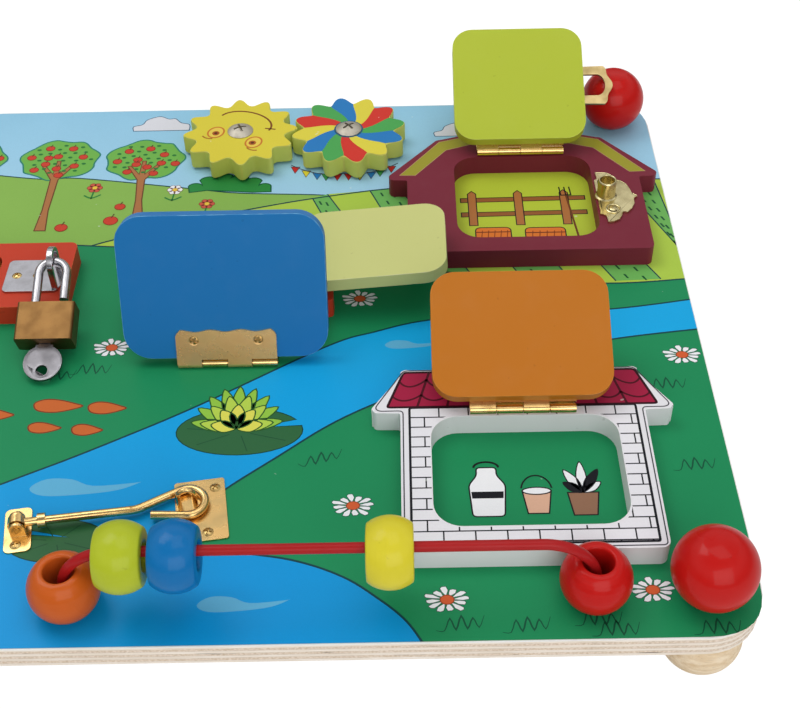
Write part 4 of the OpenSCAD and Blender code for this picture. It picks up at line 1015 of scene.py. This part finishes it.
def fastener_tree(name, cross):
    """Geometry nodes: a domed head with a shank, stood on every point of the row."""
    tree = bpy.data.node_groups.new(name, "GeometryNodeTree")
    sockets = tree.interface
    sockets.new_socket("Geometry", in_out="INPUT", socket_type="NodeSocketGeometry")
    for label, value in SIZES:
        socket = sockets.new_socket(label, in_out="INPUT", socket_type=FLOAT)
        socket.default_value = value
        socket.subtype = "DISTANCE"
    sockets.new_socket("Metal", in_out="INPUT", socket_type="NodeSocketMaterial")
    sockets.new_socket("Geometry", in_out="OUTPUT", socket_type="NodeSocketGeometry")
    given = tree.nodes.new("NodeGroupInput").outputs
    result = tree.nodes.new("NodeGroupOutput")
    head_r, head_h, length = given["Head Radius"], given["Head Height"], given["Shank Length"]

    def moved(mesh, z):
        offset = made(tree, "ShaderNodeCombineXYZ", {2: z})
        return made(tree, "GeometryNodeTransform", {"Geometry": mesh, "Translation": offset})

    def joined(kind, meshes, socket, inputs=(), **fields):
        node = put(tree, kind, inputs, **fields)
        for mesh in meshes:
            tree.links.new(mesh, node.inputs[socket])
        return node.outputs[0]

    ball_r = calc(tree, "MULTIPLY", head_r, 1.6)
    ball = made(tree, "GeometryNodeMeshUVSphere", {"Segments": 40, "Rings": 40, "Radius": ball_r})
    ball = moved(ball, calc(tree, "SUBTRACT", head_h, ball_r))
    disc = made(tree, "GeometryNodeMeshCylinder", {
        "Vertices": 32, "Radius": head_r, "Depth": calc(tree, "MULTIPLY", head_h, 2.0)})
    head = joined("GeometryNodeMeshBoolean", (ball, moved(disc, head_h)), "Mesh 2",
                  operation="INTERSECT")
    if cross:
        deep = calc(tree, "MULTIPLY", head_h, 2.2)
        bars = []
        for long, short in ((0, 1), (1, 0)):
            size = made(tree, "ShaderNodeCombineXYZ", {
                long: given["Slot Length"], short: given["Slot Width"], 2: deep})
            bars.append(moved(made(tree, "GeometryNodeMeshCube", {"Size": size}), head_h))
        head = joined("GeometryNodeMeshBoolean", bars, "Mesh 2", {"Mesh 1": head},
                      operation="DIFFERENCE")
    shank = made(tree, "GeometryNodeMeshCylinder", {
        "Vertices": 16, "Radius": given["Shank Radius"], "Depth": length})
    shank = moved(shank, calc(tree, "MULTIPLY", length, -0.49))
    whole = joined("GeometryNodeJoinGeometry", (head, shank), 0)
    axis = made(tree, "GeometryNodeInputNamedAttribute", {"Name": "axis"},
                data_type="FLOAT_VECTOR")
    turn = made(tree, "GeometryNodeInputNamedAttribute", {"Name": "turn"}, data_type="FLOAT")
    aim = made(tree, "FunctionNodeAlignRotationToVector", {"Vector": axis}, axis="Z")
    spin = made(tree, "FunctionNodeAxisAngleToRotation", {"Axis": (0, 0, 1), "Angle": turn})
    both = made(tree, "FunctionNodeRotateRotation", {"Rotation": aim, "Rotate By": spin},
                rotation_space="LOCAL")
    points = made(tree, "GeometryNodeMeshToPoints", {"Mesh": given["Geometry"]})
    stood = made(tree, "GeometryNodeInstanceOnPoints", {
        "Points": points, "Instance": whole, "Rotation": both})
    real = made(tree, "GeometryNodeRealizeInstances", {0: stood})
    done = made(tree, "GeometryNodeSetMaterial", {"Geometry": real, "Material": given["Metal"]})
    tree.links.new(done, result.inputs[0])
    return tree


def islands(bm):
    """The points of each separate solid, in the order of its first vertex."""
    left = set(bm.verts)
    for seed in bm.verts:
        if seed not in left:
            continue
        left.remove(seed)
        stack, island = [seed], []
        while stack:
            v = stack.pop()
            island.append(v.co.copy())
            for e in v.link_edges:
                o = e.other_vert(v)
                if o in left:
                    left.remove(o)
                    stack.append(o)
        yield np.array(island)


def fastener_places(node, shank):
    """Where each screw's head is seated and which way it looks, from the node's solids."""
    bm = merged(node, flat=False)
    places = []
    for co in islands(bm):
        middle = co.mean(0)
        _, vectors = np.linalg.eigh(np.cov((co - middle).T))
        best = None
        for axis in vectors.T:
            away = np.linalg.norm((co - middle) - np.outer((co - middle) @ axis, axis), axis=1)
            wide = away > shank * MM * 1.3
            uneven = np.std(np.round(away[wide], 6)) if wide.any() else 1
            if best is None or uneven < best[0]:
                best = (uneven, axis, wide)
        _, axis, wide = best
        along = co @ axis
        if along[wide].mean() < (along.max() + along.min()) / 2:
            axis = -axis
        rim = co[wide]
        top = rim.mean(0) + axis * ((rim @ axis).min() - rim.mean(0) @ axis)
        places.append((Vector(top), Vector(axis)))
    bm.free()
    return places


def fasteners(node, sizes, metal, tree):
    """Replaces a node's plain screws by detailed ones, as one mesh on its body."""
    places = fastener_places(node, sizes[2])
    mesh = bpy.data.meshes.new("row")
    mesh.from_pydata([p for p, _ in places], [], [])
    axes = mesh.attributes.new("axis", "FLOAT_VECTOR", "POINT")
    for i, (_, axis) in enumerate(places):
        axes.data[i].vector = axis
    turns = mesh.attributes.new("turn", "FLOAT", "POINT")
    for i in range(len(places)):
        # Every screw was driven until it held, so no two crosses stand alike
        turns.data[i].value = 0.5 + 1.9 * i + 0.13 * len(node)

    def prepare(modifier):
        modifier.node_group = tree
        ids = {s.name: s.identifier for s in tree.interface.items_tree
               if s.item_type == "SOCKET" and s.in_out == "INPUT"}
        for (label, _), value in zip(SIZES, sizes):
            modifier[ids[label]] = value * MM
        modifier[ids["Metal"]] = MAT[metal]
    real = evaluated(mesh, "NODES", prepare)
    if len(real.polygons) == 0:
        raise RuntimeError("no fasteners were made for " + node)
    deliver(node + "_finished", real, MAT[metal], node, smooth=35)


# ---- Settings and operators ----


class BusyBoardSettings(bpy.types.PropertyGroup):
    """What can be set in the sidebar before the pieces are made"""
    door_edge: bpy.props.FloatProperty(
        name="Door Edge", description="Rounding of the doors' edges, in millimetres",
        default=1.0, min=0.2, max=2.0)
    house_edge: bpy.props.FloatProperty(
        name="House Edge", description="Rounding of the houses' edges, in millimetres",
        default=0.6, min=0.2, max=2.0)
    metal_edge: bpy.props.FloatProperty(
        name="Metal Edge", description="Rounding of the pressed metal's edges, in millimetres",
        default=0.14, min=0.02, max=0.3)
    floor_colour: bpy.props.FloatVectorProperty(
        name="Floor Colour", description="Colour of the floor", subtype="COLOR", size=4,
        default=(0.9, 0.9, 0.9, 1.0), min=0.0, max=1.0)
    light_level: bpy.props.FloatProperty(
        name="Light Level", description="Strength of all lamps together", default=1.0,
        min=0.1, max=4.0)


class BUSYBOARD_OT_board(bpy.types.Operator):
    """Makes the plywood board, its printed landscape, balls, feet and dowels"""
    bl_idname = "busyboard.board"
    bl_label = "Board"

    def execute(self, context):
        MAT.update(make_materials())
        dress("base_board", "printed_plywood", 0.35)
        pic = Picture([rounded(oblong(-PRINT_X, -PRINT_Y, PRINT_X, PRINT_Y), PRINT_CORNER, 8)])
        draw_board(pic)
        pic.piece("board_print", "root", "printed_plywood")
        flat = math.degrees(math.asin(BALL_HALF / BALL_R))
        ball = [(0, -BALL_HALF)] + arc(0, 0, BALL_R, start=-flat, end=flat, steps=40) + [
            (0, BALL_HALF)]
        for node, low in (("corner_balls", BOARD_TOP), ("ball_feet", 0.0)):
            bm = bmesh.new()
            for x in (-BALL_X, BALL_X):
                for y in (-BALL_Y, BALL_Y):
                    place = Vector((x, y, low + BALL_HALF)) * MM
                    turned(bm, ball, Matrix.Translation(place), 64)
            deliver(node + "_finished", bm, MAT[SLOT_OF[node]], node, smooth=40)
        dress("corner_dowels", "natural_wood")
        return {"FINISHED"}


class BUSYBOARD_OT_houses(bpy.types.Operator):
    """Makes the barn, the brick house, the red house and the shed with their prints"""
    bl_idname = "busyboard.houses"
    bl_label = "Houses"

    def execute(self, context):
        edge = context.scene.busy_board.house_edge
        barn = both_sides(BARN_X, ((50, 69, 50, 79, 2.6), (55.8, 69, 57.6, 79.2, 2.9),
                                   (55.8, 75, 57.9, 82.2, 2.9)))
        brick = both_sides(BRICK_X, (
            (43.8, -66, 43.8, -59.3, 2.4), (53.7, -66, 53.6, -59.1, 2.4),
            (53.7, -61, 54.1, -56.8, 2.4), (41.8, -37.5, 43, -37.3, 1.6)))
        red = merged("red_house_frame")
        for v in red.verts:
            if v.co.x < -24.4 * MM:
                v.co.x += 3.4 * MM
        for node, shape in (("barn_frame", reshaped("barn_frame", barn, (BARN_X, 108.5, 11))),
                            ("brick_house_frame", reshaped("brick_house_frame", brick)),
                            ("red_house_frame", red), ("shed_frame", None)):
            dress(node, SLOT_OF[node], edge, shape=shape)
        draw_brick_house()
        draw_barn()
        return {"FINISHED"}


class BUSYBOARD_OT_doors(bpy.types.Operator):
    """Makes the five painted doors"""
    bl_idname = "busyboard.doors"
    bl_label = "Doors"

    def execute(self, context):
        edge = context.scene.busy_board.door_edge
        for node in ("barn_door", "brick_house_door", "pond_door", "red_house_door", "shed_door"):
            dress(node, SLOT_OF[node], edge, segments=3)
        return {"FINISHED"}


class BUSYBOARD_OT_gears(bpy.types.Operator):
    """Makes the sun gear and the pinwheel gear with their prints and washers"""
    bl_idname = "busyboard.gears"
    bl_label = "Gears"

    def execute(self, context):
        for node in ("sun_gear", "pinwheel_gear"):
            dress(node, SLOT_OF[node], 0.5)
        dress("gear_washers", "white_plastic", 0.2)
        draw_sun()
        draw_pinwheel()
        return {"FINISHED"}


class BUSYBOARD_OT_beads(bpy.types.Operator):
    """Makes the coated wire and its five beads"""
    bl_idname = "busyboard.beads"
    bl_label = "Beads"

    def execute(self, context):
        dress("bead_wire", "red_wire", smooth=40)
        sliding = (None, 15, 4.5)
        for node, x, length, hole in (
                ("orange_base_bead", -24, 18.5, 5.0), ("red_base_bead", 145.5, 18.5, 5.0),
                ("lime_bead", *sliding), ("blue_bead", *sliding), ("yellow_bead", *sliding)):
            half = length / 2
            face = math.sqrt(BEAD_R * BEAD_R - half * half)
            flat = math.degrees(math.asin(half / BEAD_R))
            belt = arc(0, 0, BEAD_R, start=-flat, end=flat, steps=16)[1:-1]
            ring = rounded([(hole, -half), (face, -half)] + belt + [(face, half), (hole, half)],
                           [1.3, 2.6] + [0.01] * len(belt) + [2.6, 1.3], 6)
            if x is None:
                low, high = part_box(node)
                place = Matrix.Translation((low + high) / 2) @ Matrix.Rotation(
                    math.pi / 2, 4, "Y")
            else:
                place = Matrix.Translation(Vector((x, WIRE_Y, WIRE_END_Z)) * MM)
            bm = bmesh.new()
            turned(bm, ring + [ring[0]], place)
            bmesh.ops.remove_doubles(bm, verts=bm.verts, dist=1e-6)
            deliver(node + "_finished", bm, MAT[SLOT_OF[node]], node, smooth=50)
        return {"FINISHED"}


def catch_plate_shape():
    """A scalloped plate with a raised rim, its hollow post and a ring round each rivet."""
    outline = rounded([
        (169, 81), (174, 80.6), (176.2, 78.6), (177.2, 75.4), (179.3, 74.9), (181.2, 72.9),
        (182.3, 69.9), (183.1, 66), (185.4, 64), (183.4, 62.2), (183.3, 58.9), (181.9, 55.6),
        (179.8, 53), (177.8, 53.5), (177, 50.8), (175.8, 48.3), (173.4, 46.9), (170.9, 46.6),
        (170.7, 50.3), (169.6, 51.8), (168.1, 52.1), (168.5, 53.9), (168.3, 57.3), (168.4, 61.4),
        (168.2, 67), (168.1, 75.4), (169.4, 76.1)], 0.6, 3)
    bm = bmesh.new()
    low, high = ([bm.verts.new(Vector((x, y, level)) * MM) for x, y in outline]
                 for level in (FRAME_TOP, FRAME_TOP + 1))
    bm.faces.new(low)
    top = bm.faces.new(high[::-1])
    for i in range(len(low)):
        bm.faces.new((low[i], low[i - 1], high[i - 1], high[i]))
    bmesh.ops.recalc_face_normals(bm, faces=bm.faces)
    bmesh.ops.inset_region(bm, faces=[top], thickness=0.8 * MM, depth=-0.35 * MM)
    z = FRAME_TOP
    turned(bm, [(0, z + 0.2), (4.6, z + 0.2), (4.6, z + 0.9), (3.9, z + 1.3), (3.9, z + 8.5),
                (3.6, z + 9), (3.3, z + 9), (3, z + 8.7), (3, z + 4), (0, z + 4)],
           Matrix.Translation(Vector((172, 64.9, 0)) * MM), 48)
    for y in (55.7, 74.1):
        turned(bm, [(2.4, z + 0.4), (3.2, z + 0.4), (3.2, z + 0.9), (2.8, z + 1.1), (2.4, z + 0.9),
                    (2.4, z + 0.4)], Matrix.Translation(Vector((174, y, 0)) * MM), 32)
    return bm


class BUSYBOARD_OT_brassware(bpy.types.Operator):
    """Makes the hinges, the catch, the bail, the hook and its plates"""
    bl_idname = "busyboard.brassware"
    bl_label = "Brassware"

    def execute(self, context):
        edge = context.scene.busy_board.metal_edge
        # The pond door's leaf gets a lighter copy of the brass as painted light.
        metals = {"catch_plate": "pale_brass", "bail_plate": "pale_brass", "bail": "bail_brass",
                  "pond_door_leaf": "painted_light_leaf_brass"}
        widths = {"cabin_hook": 0, "pond_door_leaf": edge * 1.8}
        for node in ("fixed_hinge_leaves", "barn_door_leaf", "brick_door_leaf", "pond_door_leaf",
                     "red_door_leaf", "shed_door_leaf", "catch_plate", "bail_plate", "bail",
                     "hook_plate", "eye_plate", "cabin_hook"):
            dress(node, metals.get(node, "brass"), widths.get(node, edge), smooth=38,
                  shape=catch_plate_shape() if node == "catch_plate" else None)
        for node in ("hinge_pins", "bail_pin", "hook_pin"):
            dress(node, "brass")
        return {"FINISHED"}


class BUSYBOARD_OT_padlock(bpy.types.Operator):
    """Makes the staple, the hasp strap and the padlock with its key"""
    bl_idname = "busyboard.padlock"
    bl_label = "Padlock"

    def execute(self, context):
        edge = context.scene.busy_board.metal_edge
        for node, width in (("staple_plate", edge), ("staple", edge * 2), ("strap_leaf", edge),
                            ("strap_pin", 0), ("hasp_strap", edge), ("shackle", 0),
                            ("key", edge * 2), ("lock_plug", edge), ("lock_body", 0.7)):
            shape, metal = merged(node), SLOT_OF[node]
            if node == "key":
                raise_rim(shape, 1.3, 0.45)
                metal = "key_steel"
            dress(node, metal, width, smooth=38, shape=shape)
        return {"FINISHED"}


class BUSYBOARD_OT_fasteners(bpy.types.Operator):
    """Stands the cross-head screws and the rivets, as Geometry Nodes rows"""
    bl_idname = "busyboard.fasteners"
    bl_label = "Screws and Rivets"

    def execute(self, context):
        cross = fastener_tree("Cross Head Screws", True)
        plain = fastener_tree("Domed Rivets", False)
        usual = ((1.9, 0.7, 0.9, 3.2, 0.6, 2.6), "catch_screw", cross)
        special = {
            "pond_leaf_screws": ((2.6, 0.6, 0.9, 3.2, 0.85, 2.9), "dark_screw", cross),
            "gear_screws": ((5.8, 2.3, 2.5, 17.2, 1.1, 5.8), "dull_steel", cross),
            "catch_rivets": ((2.1, 0.5, 0.9, 3.0, 0.5, 2), "pale_brass", plain),
            "bail_rivets": ((1.9, 0.7, 0.9, 3.0, 0.5, 2), "pale_brass", plain)}
        for node in ("fixed_leaf_screws", "hook_screws", "staple_screws", "barn_leaf_screws",
                     "brick_leaf_screws", "pond_leaf_screws", "red_leaf_screws",
                     "shed_leaf_screws", "strap_leaf_screws", "gear_screws", "catch_rivets",
                     "bail_rivets"):
            fasteners(node, *special.get(node, usual))
        return {"FINISHED"}


def direct_rays(tree):
    """1 on rays from the camera, straight or through something clear; and the glossy rays."""
    rays = put(tree, "ShaderNodeLightPath").outputs
    return (calc(tree, "MAXIMUM", rays["Is Camera Ray"], rays["Is Transmission Ray"]),
            rays["Is Glossy Ray"])


def cleared(owner):
    """The owner's node tree, emptied."""
    owner.use_nodes = True
    owner.node_tree.nodes.clear()
    return owner.node_tree


class BUSYBOARD_OT_stage(bpy.types.Operator):
    """Makes the floor, the lamps, the world and the camera"""
    bl_idname = "busyboard.stage"
    bl_label = "Stage"

    def execute(self, context):
        scene = context.scene
        settings = scene.busy_board
        mesh = bpy.data.meshes.new("floor")
        mesh.from_pydata([(x, y, 0) for x, y in oblong(-6, -6, 6, 6)], [], [(0, 1, 2, 3)])
        floor = bpy.data.objects.new("floor", mesh)
        scene.collection.objects.link(floor)
        white = bpy.data.materials.new("floor_white")
        tree = cleared(white)
        seen, _ = direct_rays(tree)
        plain = made(tree, "ShaderNodeBsdfDiffuse", {"Color": settings.floor_colour})
        shine = made(tree, "ShaderNodeEmission", {"Color": PLAIN, "Strength": 1.14})
        blend = made(tree, "ShaderNodeMixShader", {
            0: calc(tree, "MULTIPLY", seen, 0.86), 1: plain, 2: shine})
        put(tree, "ShaderNodeOutputMaterial", {"Surface": blend}).is_active_output = True
        mesh.materials.append(white)

        scene.world = bpy.data.worlds.new("studio")
        tree = cleared(scene.world)
        seen, glossy = direct_rays(tree)
        up = put(tree, "ShaderNodeSeparateXYZ", {
            0: put(tree, "ShaderNodeTexCoord").outputs["Generated"]}).outputs[2]
        band = calc(tree, "MULTIPLY", spread(tree, up, 0.22, 0.5, 0.12, 1.0),
                    spread(tree, up, 0.62, 0.86, 1.0, 0.3))
        level = calc(tree, "ADD", calc(tree, "MULTIPLY", glossy, band),
                     calc(tree, "MULTIPLY", calc(tree, "SUBTRACT", 1.0, glossy), 0.4))
        soft = made(tree, "ShaderNodeBackground", {"Color": (0.96, 0.98, 1, 1),
                                                   "Strength": level})
        bright = made(tree, "ShaderNodeBackground", {"Color": PLAIN, "Strength": 1.0})
        both = made(tree, "ShaderNodeMixShader", {0: seen, 1: soft, 2: bright})
        put(tree, "ShaderNodeOutputWorld", {"Surface": both})

        for name, place, size, watts in (
                ("key_lamp", (-0.5, 0.35, 1.25), 0.8, 5.6),
                ("top_lamp", (0.35, 0.1, 1.5), 1.1, 4.8),
                ("fill_lamp", (0.35, -1.35, 0.75), 1.3, 9.0)):
            lamp = bpy.data.lights.new(name, "AREA")
            lamp.shape = "RECTANGLE"
            lamp.size, lamp.size_y = size, size * 0.8
            lamp.energy = watts * settings.light_level
            lamp_object = bpy.data.objects.new(name, lamp)
            lamp_object.location = place
            aim = Vector((0.06, -0.02, 0.03)) - Vector(place)
            lamp_object.rotation_euler = aim.to_track_quat("-Z", "Y").to_euler()
            scene.collection.objects.link(lamp_object)

        eye = bpy.data.cameras.new("camera")
        eye.sensor_width, eye.lens = 36, 60.2
        eye.clip_start, eye.clip_end = 0.05, 20
        camera = bpy.data.objects.new("camera", eye)
        right = Vector((0.999824, -0.008562, -0.016722))
        up = Vector((0.01797, 0.695332, 0.718464))
        back = Vector((0.005476, -0.718638, 0.695363))
        pose = Matrix((right, up, back)).transposed().to_4x4()
        pose.translation = Vector((0.08671, -0.38851, 0.39179))
        camera.matrix_world = pose
        scene.collection.objects.link(camera)
        scene.camera = camera
        scene.view_settings.view_transform = "Standard"
        return {"FINISHED"}


class BUSYBOARD_PT_panel(bpy.types.Panel):
    """Sizes, colours and the steps that make the busy board"""
    bl_idname = "BUSYBOARD_PT_panel"
    bl_label = "Busy Board"
    bl_space_type = "VIEW_3D"
    bl_region_type = "UI"
    bl_category = "Busy Board"

    def draw(self, context):
        settings = context.scene.busy_board
        for name in ("door_edge", "house_edge", "metal_edge", "floor_colour", "light_level"):
            self.layout.prop(settings, name)
        for step in STEPS:
            self.layout.operator(step.bl_idname)


STEPS = (BUSYBOARD_OT_board, BUSYBOARD_OT_houses, BUSYBOARD_OT_doors, BUSYBOARD_OT_gears,
         BUSYBOARD_OT_beads, BUSYBOARD_OT_brassware, BUSYBOARD_OT_padlock,
         BUSYBOARD_OT_fasteners, BUSYBOARD_OT_stage)
CLASSES = (BusyBoardSettings,) + STEPS + (BUSYBOARD_PT_panel,)


def register():
    for cls in CLASSES:
        bpy.utils.register_class(cls)
    bpy.types.Scene.busy_board = bpy.props.PointerProperty(type=BusyBoardSettings)


def unregister():
    del bpy.types.Scene.busy_board
    for cls in reversed(CLASSES):
        bpy.utils.unregister_class(cls)


def main():
    register()
    bpy.ops.busyboard.board()
    bpy.ops.busyboard.houses()
    bpy.ops.busyboard.doors()
    bpy.ops.busyboard.gears()
    bpy.ops.busyboard.beads()
    bpy.ops.busyboard.brassware()
    bpy.ops.busyboard.padlock()
    bpy.ops.busyboard.fasteners()
    bpy.ops.busyboard.stage()


if __name__ == "__main__":
    main()
